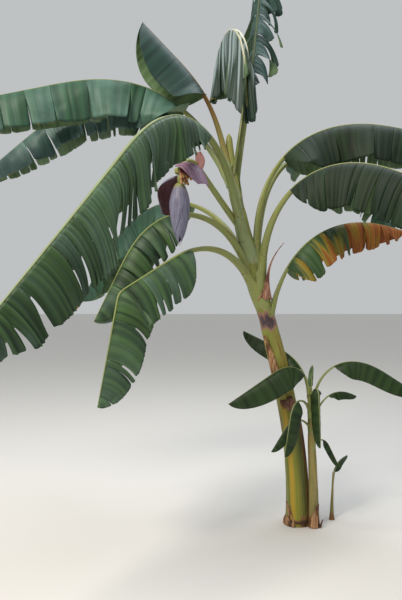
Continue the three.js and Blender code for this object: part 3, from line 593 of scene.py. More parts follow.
def stalk_material(name, body, rim, bloom, stain, roughness, wax_from=0.0, wax_to=0.6, wax=0.7):
    """Leaf stalk and midrib: smooth skin over long fibres, waxy near the stem.

    The eye sees a pale channel and rims, a rounded back darker from painted shade, and faint long brown
    streaks, drawn 3 mm wide where the fibres are 1 mm. The bloom fades between two distances from the stem.
    """
    material, tree, shader = new_material(name, roughness, 0.45)
    place = add(tree, "UVMap", uv_map="vein")
    along = add(tree, "SeparateXYZ", place)
    across = along.node.outputs[1]
    dryness, = held_numbers(tree, "dryness")
    fibres = streaks(tree, place, (1.2, 20.0, 1.0), 4.0)
    spots = streaks(tree, place, (7.0, 8.0, 1.0), 5.0)
    clouds = streaks(tree, place, (5.0, 6.0, 1.0), 4.0)
    near = add(tree, "MapRange", along, wax_from, wax_to, wax, 0.0)
    waxed = add(tree, "Math", near, add(tree, "MapRange", clouds, 0.3, 0.6, 0.2, 1.0), operation="MULTIPLY")
    # Paler channel and rims, darker back: the stalk's own pale rims with painted shade underneath.
    base = tint(tree, body, rim, across, 0.35, 0.8)
    base = add(tree, "Mix", waxed, base, bloom, output=2, data_type="RGBA")
    base = tint(tree, base, stain, fibres, 0.5, 0.75, 0.0, 0.35)
    base = tint(tree, base, stain, spots, 0.54, 0.66, 0.0, 0.65)
    worn = add(tree, "Math", dryness, add(tree, "MapRange", spots, 0.35, 0.7, -0.3, 0.35))
    base = tint(tree, base, "#6b4a2b", worn, 0.4, 0.75)
    dress(tree, shader, base, fibres, 0.3, 0.003)
    return material


def trunk_material(name, low, high, shade, bloom, stain, gold):
    """Rolled leaf sheaths of the trunk: smooth waxy skin, stained as outer sheaths die.

    The eye sees yellow-green below and grey-green above, sheaths of different greens, painted dark green
    shade round the side of the loose outer sheath, long faint fibres, brown dry edges and blotches, and a
    dark papery scar. Fibres are drawn 9 mm apart, coarser than the real 2 mm.
    """
    material, tree, shader = new_material(name, 0.5, 0.45)
    place = add(tree, "TexCoord", output="Object")
    height = add(tree, "SeparateXYZ", place, output=2)
    tone, margin, dryness, scar = held_numbers(tree, "tone", "margin", "dryness", "scar")
    fibres = streaks(tree, place, (110.0, 110.0, 3.0))
    runs = streaks(tree, place, (26.0, 26.0, 1.6), 5.0)
    blotches = streaks(tree, place, (13.0, 13.0, 4.0), 6.0)
    flakes = streaks(tree, place, (45.0, 45.0, 30.0), 6.0)
    bands = streaks(tree, place, (16.0, 16.0, 0.9), 2.0)
    base = tint(tree, low, high, height, 0.9, 2.2)
    golden = add(tree, "MapRange", bands, 0.42, 0.56, 0.0, gold)
    lower = add(tree, "MapRange", height, 1.4, 2.0, 1.0, 0.0)
    gilded = add(tree, "Math", golden, lower, operation="MULTIPLY")
    base = add(tree, "Mix", gilded, base, "#967a26", output=2, data_type="RGBA")
    # tone: a darker green that differs from sheath to sheath, and painted shade round the loose outer sheath.
    base = tint(tree, base, shade, tone, 0.0, 1.0, 0.0, 0.85)
    base = tint(tree, base, bloom, runs, 0.45, 0.7, 0.0, 0.4)
    base = tint(tree, base, stain, fibres, 0.45, 0.75, 0.0, 0.25)
    edged = add(tree, "Math", margin, add(tree, "MapRange", runs, 0.25, 0.5, 0.75, 1.0), operation="MULTIPLY")
    base = add(tree, "Mix", edged, base, "#ae9028", output=2, data_type="RGBA")
    aged = add(tree, "Math", dryness, add(tree, "MapRange", height, 0.04, 0.12, 0.75, 0.0))
    worn = add(tree, "Math", aged, add(tree, "MapRange", blotches, 0.4, 0.75, -0.35, 0.6))
    base = tint(tree, base, "#7a5530", worn, 0.38, 0.62)
    base = tint(tree, base, "#43291d", worn, 0.7, 1.0)
    scarred = add(tree, "Math", scar, add(tree, "MapRange", flakes, 0.3, 0.7, -0.16, 0.16))
    base = tint(tree, base, "#94695a", scarred, 0.3, 0.45, 0.0, 0.95)
    base = tint(tree, base, "#3b2d36", scarred, 0.55, 0.9, 0.0, 0.95)
    papery = add(tree, "MapRange", flakes, 0.5, 0.7, 0.0, 0.3)
    greyed = add(tree, "Math", add(tree, "MapRange", scarred, 0.5, 0.8), papery, operation="MULTIPLY")
    base = add(tree, "Mix", greyed, base, "#8a7a80", output=2, data_type="RGBA")
    tree.links.new(add(tree, "MapRange", worn, 0.3, 0.8, 0.45, 0.78), shader.inputs["Roughness"])
    dress(tree, shader, base, add(tree, "Math", fibres, blotches), 0.4, 0.004)
    return material


def husk_material(name, first, second, third):
    """Dead sheath and stalk, dried on the plant: papery and fibrous.

    The eye sees tan, brown and grey fibres. They are drawn 8 mm apart, coarser than the real 1 to 2 mm.
    """
    material, tree, shader = new_material(name, 0.85, 0.25)
    place = add(tree, "TexCoord", output="Object")
    fibres = streaks(tree, place, (120.0, 120.0, 7.0), 5.0)
    patches = streaks(tree, place, (34.0, 34.0, 6.0), 4.0)
    base = tint(tree, first, second, fibres, 0.4, 0.62)
    base = tint(tree, base, third, patches, 0.46, 0.58, 0.0, 0.9)
    dress(tree, shader, base, fibres, 0.7, 0.004)
    return material


def bract_material(name, body, bloom, amount, roughness):
    """Bract of the flower: thick waxy skin with ridges along it.

    The eye sees maroon under a lilac-grey bloom, rubbed thin on the ridges, and a yellow-green foot. The
    ridges are drawn 7 mm apart, coarser than the real 3 mm.
    """
    material, tree, shader = new_material(name, roughness, 0.4)
    place = add(tree, "UVMap", uv_map="vein")
    along = add(tree, "SeparateXYZ", place)
    ridges = streaks(tree, place, (1.6, 1 / 0.007, 1.0))
    dusting = streaks(tree, place, (14.0, 26.0, 1.0), 5.0)
    rubbed = add(tree, "Math", add(tree, "MapRange", ridges, 0.4, 0.62, 0.0, 0.7),
                 add(tree, "MapRange", dusting, 0.45, 0.75, 0.0, 0.45))
    base = tint(tree, body, bloom, rubbed, 0.0, 1.0, amount, 0.0)
    base = tint(tree, base, "#8d9046", along, 0.012, 0.05, 0.9, 0.0)
    dress(tree, shader, base, ridges, 0.4, 0.003)
    return material


def flower_material(name, foot, middle, tip):
    """Young flowers: soft satin flesh. The eye sees a yellow-green foot, a pink body and an orange tip."""
    material, tree, shader = new_material(name, 0.5, 0.4)
    place = add(tree, "UVMap", uv_map="vein")
    along = add(tree, "SeparateXYZ", place)
    speckle = streaks(tree, place, (9.0, 9.0, 1.0))
    placed = add(tree, "Math", along, add(tree, "MapRange", speckle, 0.3, 0.7, -0.12, 0.12))
    base = tint(tree, foot, middle, placed, 0.05, 0.3)
    base = tint(tree, base, tip, placed, 0.6, 0.85)
    tree.links.new(base, shader.inputs["Base Color"])
    return material


MATERIALS = {}


def make_materials(colours):
    """All finishes of the plant, from the colours in the sidebar."""
    chosen = [(*getattr(colours, name), 1.0) for name in BananaColours.__annotations__]
    deep, mid, pale, low, high, bud, bract = chosen
    MATERIALS.update({
        "deep": blade_material("blade_waxy_deep_green", deep, "#35593f", "#66877e", 0.5),
        "mid": blade_material("blade_waxy_mid_green", mid, "#3f5a30", "#6a8478", 0.48),
        # A darker copy of the leaf green: painted shade for the right-hand leaves.
        "shaded": blade_material("blade_waxy_green_painted_shade", "#0f1b0b", "#1c2f18", "#31493a", 0.62),
        # A darker copy of the leaf green, between deep and shaded: painted shade.
        "dusky": blade_material("blade_waxy_green_dusky_painted_shade", "#162a22", "#233f36", "#4a6662", 0.55),
        "young": blade_material("blade_young_green", "#172810", "#2a401c", "#4c6044", 0.45),
        "blue": blade_material("blade_waxy_blue_green", "#2c4640", "#456058", "#6f8883", 0.48),
        # Pale on the fold crests and dark green in the valleys: a thick wax bloom with painted highlight and
        # shade.
        "pale": blade_material("blade_thick_bloom_and_highlight", "#192f20", pale, "#a6b2bb", 0.55, 0.06, 0.36),
        "under": blade_material("blade_underside", "#455c3c", "#607a52", "#7c8f7a", 0.62),
        "fresh": stalk_material("stalk_yellow_green", "#86893a", "#87925a", "#899766", "#74502a", 0.45,
                                0.2, 3.4, 0.6),
        "dark": stalk_material("stalk_dark_green", "#33421f", "#42522c", "#8f9a6c", "#5a4226", 0.5),
        "waxed": stalk_material("stalk_grey_green", "#7c8648", "#87976e", "#8c9d7c", "#7a5c34", 0.5),
        "white": stalk_material("midrib_whitish", "#b4b59c", "#c4c4ad", "#5f6a33", "#9a9274", 0.6,
                                0.9, 1.05, 1.6),
        "rusty": stalk_material("stalk_rusty", "#86602c", "#9a783c", "#7c8448", "#7a4724", 0.5,
                                0.1, 0.6, 1.3),
        "trunk": trunk_material("sheath_skin", low, high, "#55661c", "#98994f", "#6a4c22", 0.75),
        # The outer sheath's dark green is painted shade round its side.
        "sheath": trunk_material("sheath_skin_outer", "#7c7f22", "#7c8030", "#28370e", "#7f812d",
                                 "#4a4420", 0.3),
        "sucker": trunk_material("sheath_skin_young", "#93864c", "#8b8a4c", "#6a6a34", "#aa9f70",
                                 "#6a4f2c", 0.2),
        "husk": husk_material("dry_sheath_fibre", "#8f6844", "#c8a079", "#54372a"),
        "horn": husk_material("dry_stalk_fibre", "#94644f", "#c2957e", "#6a4236"),
        "rot": husk_material("cut_stub_rotten", "#6e4638", "#a07c6a", "#4a2e24"),
        "bud": bract_material("bract_lilac_bloom", "#544a5e", bud, 0.97, 0.5),
        "blush": bract_material("bract_pink_bloom", "#6d3f58", "#9c8399", 0.9, 0.5),
        "rose": bract_material("bract_rose_inside", "#7d4a48", "#a5807a", 0.6, 0.45),
        "bract_inside": bract_material("bract_maroon_inside", bract, "#7d4550", 0.5, 0.42),
        "flower": flower_material("flower_flesh", "#8f8f4c", "#9a5f54", "#b08a55"),
    })


# Leaves

@dataclass
class Tear:
    """A tear across a blade half: its place, its width at the margin, and how far from the rib it ends."""
    share: float
    gap: float
    root: float


def leaf_tears(leaf, side, settings, rng):
    """The solids' tears, with finer ones between them."""
    shallow = 1 / 3 if leaf.blade > BROAD_BLADE else 0.5
    tears = []
    for k in range(leaf.strips - 1):
        jitter = (chance(leaf.seed, k) - 0.5) * TEAR_JITTER
        deep = chance(leaf.seed, 10 * k + (7 if side > 0 else 3)) < leaf.torn
        root = 0.0 if deep else shallow
        tears.append(Tear(TEAR_FIRST + TEAR_SPAN * (k + 1 + jitter) / leaf.strips, leaf.gap, root))
    finer = 0
    if leaf.strips > 1:
        finer = int(leaf.blade * settings.tears_per_metre * (0.1 + leaf.torn) * leaf.shreds)
    taken = [tear.share for tear in tears]
    for _ in range(finer):
        share = rng.uniform(0.07, 0.96)
        depth = rng.beta(1 + 2 * leaf.torn, 2.4 - 1.2 * leaf.torn) * (0.5 + 0.5 * leaf.torn)
        depth = depth * min(leaf.shreds, LONGEST_TEAR)
        gap = rng.uniform(0.15, 0.7) * max(leaf.gap, 0.008)
        if min([abs(share - other) for other in taken] + [1.0]) * leaf.blade < TEAR_CLEAR:
            continue
        taken.append(share)
        tears.append(Tear(share, gap, 1 - depth))
    ends = [Tear(0.002, 0, 1), Tear(0.998, 0, 1)]
    return sorted(ends + tears, key=lambda tear: tear.share)


def fold_line(leaf, settings, rng):
    """Places of the creases along a blade, and how far each stands out: flat panels lie between them."""
    fold_width = settings.fold_width * leaf.pleat
    panels = int(leaf.blade / fold_width * 3) + 6
    places = np.cumsum(rng.uniform(0.4, 1.25, panels) ** 1.8 + 0.2) * fold_width / 2 - fold_width
    heights = rng.uniform(0.25, 1.0, panels) * np.where(np.arange(panels) % 2, 1, -1)
    return places, heights


def hung_lines(leaf, midrib, side, share, width, root, sag, steps):
    """Lines from the midrib to the margin as they hang: their points, the directions along, the normals."""
    distance = leaf.stalk + share * leaf.blade
    point, along, right, up = midrib.at(distance)
    roll = lerp(*leaf.roll, smoothstep(share, 0.02, 0.16)) * (1 - smoothstep(share, 0.1, 0.5))
    roll = np.radians(roll)[:, None]
    right, up = right * np.cos(roll) + up * np.sin(roll), up * np.cos(roll) - right * np.sin(roll)
    along = along[:, None, :]

    # Each line bends down by its own hang, and a strip that is torn free sags further
    at = (np.arange(steps) + 0.5) / steps
    footed = FOOT_HANG + (1 - FOOT_HANG) * smoothstep(share, 0, FOOT_SPAN)
    hang = (leaf.right if side > 0 else leaf.left) * footed
    vary = smoothstep(at[None, :], 0, 1.15) * np.clip((at[None, :] - root) / (1.001 - root), 0, 1) ** 0.5
    bent = (1 - np.exp(-at / HANG_REACH)) / (1 - math.exp(-1 / HANG_REACH))
    angle = np.radians(hang[:, None] * lerp(leaf.drape, 1, bent)[None, :] + sag * vary)
    heading = (side * np.cos(angle))[..., None] * right[:, None, :]
    heading = heading - np.sin(angle)[..., None] * up[:, None, :]

    # Towards the margin, and all along where it is limp, the line turns plumb
    droop = leaf.droop * lerp(1, leaf.spread, smoothstep(share, 0.4, 0.75))
    limp = leaf.limp[side > 0] * (1 - smoothstep(share, 0.25, 0.75))
    limp = limp * lerp(0.5, 1, smoothstep(share, 0.03, 0.15))
    plumb = np.clip(limp[:, None] + droop[:, None] * at, 0, 1)[..., None]
    heading = heading * (1 - plumb) + plumb * np.array([0.0, 0.0, -1.0])
    heading /= np.linalg.norm(heading, axis=-1, keepdims=True)

    half = rib_half_width(leaf, distance)
    outer = side * 0.97 - (leaf.tucked if side > 0 else 0)
    start = point + (outer * half)[:, None] * right + (BLADE_ROOT * half)[:, None] * up
    path = start[:, None, :] + np.cumsum(heading * (width / steps)[:, None, None], axis=1)
    places = np.concatenate([start[:, None, :], path], axis=1)[:, ::2]
    headings = np.concatenate([heading[:, :1], heading], axis=1)[:, ::2]
    normal = side * np.cross(headings, along)
    return places, along, normal / np.linalg.norm(normal, axis=-1, keepdims=True)


def strip_numbers(leaf, side, share, reach, crest, sag, rng):
    """Numbers for the blade's material: how dry, how waxy, and which way each fold and strip faces."""
    slack = leaf.limp[side > 0]
    pattern = ripple(share * leaf.blade * 17, reach * 2.5, leaf.seed + side)
    edge = smoothstep(reach, 0.9, 1.0) * rng.uniform(0.0, 0.75) ** 1.5 * (0.5 + 0.5 * pattern)
    withered = leaf.dry * (0.1 + 1.35 * share + 0.3 * reach + 0.2 * pattern + rng.normal(0, 0.2))
    dryness = np.clip(withered + edge * (leaf.strips > 1), 0, 1.2)
    # crest becomes painted light and shade: pale on the fold crests, dark in the valleys, on strips that sag,
    # and where a limp half hangs under the midrib and towards its margin; the bloom is taken away there too.
    hidden_shade = slack * (1 - smoothstep(share, 0.1, 0.3))
    bloom = leaf.wax * np.clip(rng.beta(0.9, 2.2) + 0.15 * pattern + 0.1 * reach, 0, 1) * (1 - hidden_shade)
    crest = crest - np.clip(0.04 * sag, -0.8, 0.8) - 0.9 * hidden_shade
    crest = crest - 1.5 * slack * smoothstep(reach, 0.2, 0.95)
    return {"dryness": dryness.ravel(), "bloom": bloom.ravel(), "crest": crest.ravel()}


def wing_strip(leaf, midrib, side, before, after, folds, settings, rng):
    """The strip of a blade half between two tears: its points, vein coordinates, numbers and cells."""
    rows = settings.blade_rows if leaf.blade > BROAD_BLADE else settings.blade_rows // 2
    length = (after.share - before.share) * leaf.blade
    columns = max(2, math.ceil(length / settings.cell))
    u = np.linspace(0, 1, columns + 1)
    share = lerp(before.share, after.share, u)
    loose = leaf.torn + 0.12
    torn_edge = 1 - 0.05 * np.abs(2 * u - 1) ** 6 * (leaf.strips > 1)
    ragged = 1 + 0.01 * loose * rng.standard_normal(columns + 1)
    width = leaf.half * outline(leaf, share) * torn_edge * ragged * (1 - 0.1 * loose * rng.random())
    width = width * (1 + leaf.longer * (1.8 - smoothstep(share, 0.15, 0.6)) * smoothstep(share, 0.0, 0.2))
    if leaf.torn == 1 and rng.random() < 0.35:
        width = width * rng.uniform(0.35, 0.7)
    slack = leaf.limp[side > 0]
    sag = rng.normal(0, 3 + 14 * leaf.torn) * (1 - slack) * leaf.shreds
    twist = rng.normal(0, 0.12 + 0.5 * leaf.torn) * (1 - slack) * leaf.shreds
    root = lerp(before.root, after.root, u)[:, None]
    places, along, normal = hung_lines(leaf, midrib, side, share, width, root, sag, 2 * rows)

    # The tears open towards the margin, the folds and the margin's slow wave stand off the blade
    u = u[:, None]
    x = (share * leaf.blade)[:, None]
    reach = np.linspace(0, 1, rows + 1)[None, :]
    opened = [np.clip((reach - tear.root) / (1.001 - tear.root), 0, 1) ** 0.8 for tear in (before, after)]
    free = smoothstep(reach, 0, 1) * np.clip((reach - root) / (1.001 - root), 0, 1) ** 0.5
    shift = 0.5 * ((1 - u) * before.gap * opened[0] - u * after.gap * opened[1])
    shift = shift + leaf.ribbon * (0.5 - u) * length * free
    crest = np.interp(x, *folds) + 0 * reach
    lift = leaf.fold * settings.fold_depth * (0.12 + 0.88 * reach ** 0.7) * crest
    wave = np.sin(2 * np.pi * x / WAVE_LENGTH + 2 * leaf.seed + side)
    lift = lift + WAVE_HEIGHT * leaf.half * reach ** 2 * wave
    lift = lift + twist * (u - 0.5) * length * free
    places = places + shift[..., None] * along + lift[..., None] * normal

    numbers = strip_numbers(leaf, side, share[:, None], reach, crest, sag, rng)
    uv = np.stack(np.broadcast_arrays(x, reach * leaf.half), axis=-1)
    return places.reshape(-1, 3), uv.reshape(-1, 2), numbers, columns, rows


def build_blade(leaf, midrib, settings):
    """Both halves of a leaf's blade as one thin piece, with a paler underside."""
    points, uvs, quads, values = [], [], [], {"dryness": [], "bloom": [], "crest": []}
    count = 0
    for side in (-1, 1):
        rng = np.random.RandomState(100 * leaf.seed + side + 1)
        folds = fold_line(leaf, settings, rng)
        tears = leaf_tears(leaf, side, settings, rng)
        for before, after in zip(tears[:-1], tears[1:]):
            strip = wing_strip(leaf, midrib, side, before, after, folds, settings, rng)
            places, uv, numbers, columns, rows = strip
            faces = grid_faces(columns, rows, count)
            points.append(places)
            uvs.append(uv)
            for key, number in numbers.items():
                values[key].append(number)
            quads.append(faces if side < 0 else faces[:, ::-1])
            count += len(places)
    piece = mesh_piece(leaf.name + "_blade", np.vstack(points), np.vstack(quads),
                       [MATERIALS[leaf.tone], MATERIALS["under"]], np.vstack(uvs),
                       {key: np.concatenate(numbers) for key, numbers in values.items()})
    make_active(piece)
    with all_in_edit_mode():
        bpy.ops.mesh.remove_doubles(threshold=1e-5)
    thickness = BLADE_SOLID * (1 if leaf.blade > BROAD_BLADE else THINNER)
    apply_modifier(piece, "SOLIDIFY", thickness=thickness, offset=-1, material_offset=1)
    bpy.ops.object.shade_smooth()
    return piece


# Section of a stalk, over the channel and round the back: across, above, and how pale it is. The paleness
# is partly the stalk's pale channel and rims, partly painted shade that darkens its rounded back underneath.
RIB_SECTION = np.array([
    (-1.0, 0.8, 0.6), (-0.84, 1.0, 0.8), (-0.42, 0.3, 0.9), (0.0, 0.0, 1.0), (0.42, 0.3, 0.9),
    (0.84, 1.0, 0.8), (1.0, 0.8, 0.6), (1.04, 0.1, 0.45), (0.92, -0.45, 0.25), (0.62, -0.85, 0.1),
    (0.22, -1.0, 0.0), (-0.22, -1.0, 0.0), (-0.62, -0.85, 0.1), (-0.92, -0.45, 0.25), (-1.04, 0.1, 0.45)])


def rib_half(leaf, distance):
    """Half width of the stalk and midrib, with the foot that clasps the stem."""
    foot = np.clip(1 - distance / (FOOT_LENGTH * leaf.size), 0, 1) ** 2
    return rib_half_width(leaf, distance) * (1 + FOOT_FLARE * foot)


def build_rib(leaf, midrib, settings):
    """The channelled stalk that runs on as the midrib."""
    rings = max(24, int(midrib.total / (2.5 * settings.cell)))
    distance = midrib.total * np.linspace(0, 1, rings + 1) ** 1.05
    point, _, right, up = midrib.at(distance)
    half = rib_half(leaf, distance)[:, None]
    across, above, shade = RIB_SECTION.T
    stand = lerp(2 * RIB_CHANNEL, RIB_STAND, smoothstep(distance, 0.3 * leaf.stalk, leaf.stalk))
    above = np.where(above > 0, above * stand[:, None], above * RIB_DEPTH) * half
    return tube_piece(leaf.name + "_rib", point, right, up, half * across, above,
                      (distance[:, None], shade[None, :]), MATERIALS[leaf.stalk_tone])


def build_clasp(leaf, stem, midrib):
    """The sheath of a stalk: it hugs the stalk's back and spreads down and round the stem."""
    drop = CLASP_DROP * leaf.size * leaf.clasp
    climb = CLASP_CLIMB * leaf.size

    def place(i, j):
        side = 2 * j - 1
        z = leaf.foot - drop + (drop + 0.03 * leaf.size) * np.minimum(i / 0.6, 1)
        spread = np.radians(lerp(58 + 72 * leaf.clasp, 58, smoothstep(i, 0, 0.6)))
        lift = leaf.size * lerp(-0.014, 0.011, smoothstep(i, 0, 0.55)) * (1 - 0.55 * side ** 2)
        angle = np.radians(leaf.azimuth) - side * spread
        on_stem = stem_centre(stem, z) + around(angle, stem_radius(stem, z) + lift)
        distance = climb * np.clip((i - 0.4) / 0.6, 0, 1)
        point, _, right, up = midrib.at(distance)
        swell = rib_half(leaf, distance) * lerp(1.07, 0.94, smoothstep(i, 0.5, 1))
        turn = side * np.radians(102)
        on_stalk = (point + (swell * 1.04 * np.sin(turn))[:, None] * right
                    - (swell * RIB_DEPTH * np.cos(turn))[:, None] * up)
        share = smoothstep(i, 0.42, 0.85)[:, None]
        uv = np.stack([0.45 * i - 0.2, 0.12 + 0.18 * side + 0.35 * side ** 8], axis=-1)
        uneven = 0.65 + 0.35 * np.sin(9 * i + leaf.azimuth)
        # Brown edges, partly the sheath's dry papery edge and partly painted shade in the gaps between the
        # stalks.
        edge = smoothstep(np.abs(side), 0.8, 1) * (1 - 0.5 * i) * uneven
        return lerp(on_stem, on_stalk, share), {"uv": uv, "dryness": 0.95 * edge}

    return shell_piece(leaf.name + "_sheath", 30, 24, place, 0.005 * leaf.size,
                       [MATERIALS[leaf.stalk_tone]])


def build_leaves(leaves, stem, first_seed, settings):
    """The blade, the rib and the clasping sheath of each leaf. The sheath is left out at the stem's top."""
    for k, leaf in enumerate(leaves):
        leaf.seed = first_seed + k
        midrib = Midrib(leaf, stem)
        finish_piece(build_blade(leaf, midrib, settings), "leaf", leaf.name)
        finish_piece(build_rib(leaf, midrib, settings), "stalk", leaf.name)
        if leaf.foot < stem.height - 0.02 * leaf.size:
            finish_piece(build_clasp(leaf, stem, midrib), "stalk", leaf.name)


# Stems

@dataclass
class SheathBand:
    """A leaf sheath wrapped round a stem, widening downwards from its stalk until it meets itself."""
    top: float
    azimuth: float
    tone: float                 # share of the darker green
    dry: float                  # how brown its edge is


def turn_between(angle, azimuth, wobble=0.0):
    """The turn from an azimuth in degrees to an angle, from 0 to pi."""
    return np.abs((angle - np.radians(azimuth) + wobble + np.pi) % (2 * np.pi) - np.pi)


def stem_surface(bands, stem, z, angle, unit):
    """How far the wrapped sheaths stand off the stem, their tone, and how dry their edges are."""
    lift, tone, dryness = np.zeros_like(z), np.zeros_like(z) + 0.3, np.zeros_like(z)
    radius = stem_radius(stem, z)
    for band in bands:
        below = (band.top - z) / unit
        width = np.radians(24 + 66 * np.clip(below, 0, None) ** 0.8)
        away = turn_between(angle, band.azimuth, 0.12 * np.sin(3 * below))
        started = smoothstep(below, -0.03, 0.03)
        inside = smoothstep(width - away, -0.02, 0.05) * started
        lift = lift + 0.003 * unit * inside * (1 - smoothstep(below, 0.35, 0.9))
        rim = np.exp(-((width - away) * radius / (0.0045 * unit)) ** 2) * started * (width < np.pi - 0.1)
        tone = lerp(tone, band.tone, inside)
        dryness = np.maximum(dryness * (1 - 0.8 * inside), rim * band.dry)
    return lift, tone, dryness


def extrude_ring(move, growth, centre):
    """Extrudes the selected ring and widens it round a centre."""
    bpy.ops.mesh.extrude_region_move(TRANSFORM_OT_translate={"value": tuple(move)})
    bpy.ops.transform.resize(value=(growth, growth, 1), center_override=tuple(centre))


def scar_marks(scars, z, angle):
    """Where the papery scars lie on a stem, from 0 to 1."""
    scar = np.zeros_like(z)
    for low, high, azimuth, reach in scars:
        away = turn_between(angle, azimuth)
        torn = 0.02 * ripple(angle * 5, z * 0, low * 9)
        mark = smoothstep(z + torn, low, low + 0.09) * (1 - smoothstep(z - torn, high - 0.11, high))
        scar = np.maximum(scar, mark * (1 - smoothstep(away, np.radians(0.25 * reach), np.radians(reach))))
    return scar


def build_stem(name, stem, bands, material, sides, rings, unit, scars=()):
    """A stem extruded ring by ring, then shaped by the sheaths that wrap it. unit scales the relief."""
    levels = stem.height * np.linspace(0, 1, rings + 1) ** 1.05
    centres = stem_centre(stem, levels)
    radii = stem_radius(stem, levels)
    deselect_all()
    bpy.ops.mesh.primitive_circle_add(vertices=sides, radius=radii[0], location=centres[0],
                                      fill_type="NOTHING")
    piece = new_active(name)
    with all_in_edit_mode():
        for k in range(rings):
            extrude_ring(centres[k + 1] - centres[k], radii[k + 1] / radii[k], centres[k + 1])
        for rise, growth in POINTED_TOP:
            extrude_ring((0, 0, rise * stem.top), growth, centres[-1])
        bpy.ops.mesh.edge_face_add()
        bpy.ops.mesh.select_all(action="SELECT")
        bpy.ops.mesh.region_to_loop()
        bpy.ops.mesh.edge_face_add()
    settle()

    mesh = piece.data
    places = vertices(mesh)
    z = places[:, 2]
    centre = stem_centre(stem, z)
    angle = np.arctan2(places[:, 1] - centre[:, 1], places[:, 0] - centre[:, 0])
    lift, tone, dryness = stem_surface(bands, stem, z, angle, unit)
    lift = lift + 0.0012 * unit * np.sin(angle * 19 + 2 * np.sin(2.2 * z / unit) + 2 * np.sin(angle * 2))
    outwards = np.where(z > stem.height, 0, lift - 0.004 * unit)
    mesh.vertices.foreach_set("co", (places + around(angle, outwards)).ravel())
    set_numbers(mesh, {"tone": tone, "dryness": dryness, "scar": scar_marks(scars, z, angle)})
    mesh.materials.append(material)
    outward(piece)
    bpy.ops.object.shade_smooth_by_angle(angle=math.radians(60))
    return piece


def sheath_bands(leaves, gone, seed, clear):
    """The sheaths of the living leaves and of leaves that are gone, from the youngest outwards."""
    rng = np.random.RandomState(seed)
    bands = [SheathBand(leaf.foot - clear, leaf.azimuth, rng.uniform(0, 0.6), 0.12) for leaf in leaves]
    bands += [SheathBand(top, azimuth, rng.uniform(0, 1), rng.uniform(0.25, 0.75)) for top, azimuth in gone]
    return sorted(bands, key=lambda band: -band.top)


def shell_piece(name, rows, columns, place, thickness, materials, bevel=0.0, flip=False):
    """A grid with its points at place(i, j), i going up and j across, and a wall on its inner side."""
    deselect_all()
    bpy.ops.mesh.primitive_grid_add(x_subdivisions=columns, y_subdivisions=rows, size=1)
    piece = new_active(name)
    mesh = piece.data
    j, i, _ = np.clip(vertices(mesh) + 0.5, 0, 1).T
    moved, values = place(i, j)
    mesh.vertices.foreach_set("co", moved.ravel())
    uv = values.pop("uv", None)
    if uv is not None:
        order = np.empty(len(mesh.loops), np.int32)
        mesh.loops.foreach_get("vertex_index", order)
        mesh.uv_layers.remove(mesh.uv_layers[0])
        mesh.uv_layers.new(name="vein").data.foreach_set("uv", uv[order].ravel())
    set_numbers(mesh, values)
    for material in materials:
        mesh.materials.append(material)
    if flip:
        with all_in_edit_mode():
            bpy.ops.mesh.flip_normals()
    apply_modifier(piece, "SOLIDIFY", thickness=thickness, offset=-1, material_offset=len(materials) - 1)
    outward(piece)
    if bevel:
        apply_modifier(piece, "BEVEL", width=bevel, segments=2, limit_method="ANGLE",
                       angle_limit=math.radians(50))
    bpy.ops.object.shade_smooth()
    return piece


def build_outer_sheath():
    """The loose outer sheath: yellow margin in front, painted dark green shade round to its dry brown edge.
    """
    shape = OUTER_SHEATH

    def place(i, j):
        z = lerp(shape["low"], shape["high"], i) - 0.012 * (1 - i) * np.sin(9 * j) ** 2
        width = shape["turn"] * (1 - shape["narrow_by"] * smoothstep(i, shape["narrow_from"], 1))
        turned = np.radians(width * j)
        margin = np.radians(width) * np.minimum(j, 1 - j)
        curl = 0.009 * np.exp(-(margin / 0.10) ** 2) * (1 + 0.5 * np.sin(7 * z))
        reach = stem_radius(MAIN_STEM, z) + shape["seat"] + shape["thickness"] + curl
        reach = reach + 0.0014 * np.sin(30 * turned + np.sin(3 * z)) * smoothstep(margin, 0.1, 0.3)
        angle = np.radians(shape["start"]) + turned + 0.06 * (1 - z)
        dryness = 0.9 * smoothstep(turned, 1.1, 1.6) * (1 - 0.4 * smoothstep(turned, 2.0, 2.8))
        dryness = dryness + 0.6 * (1 - smoothstep(i, 0.0, 0.04)) + 0.7 * smoothstep(i, 0.9, 1)
        # tone here is painted shade: the sheath turns dark green round its side.
        values = {"margin": 1 - smoothstep(turned, 0.2, 0.5), "tone": smoothstep(turned, 0.55, 1.15),
                  "dryness": dryness}
        return stem_centre(MAIN_STEM, z) + around(angle, reach), values

    piece = shell_piece("outer_sheath_skin", 110, 90, place, 0.007, [MATERIALS["sheath"]], bevel=0.0015)
    finish_piece(piece, "sheath", "outer_sheath")


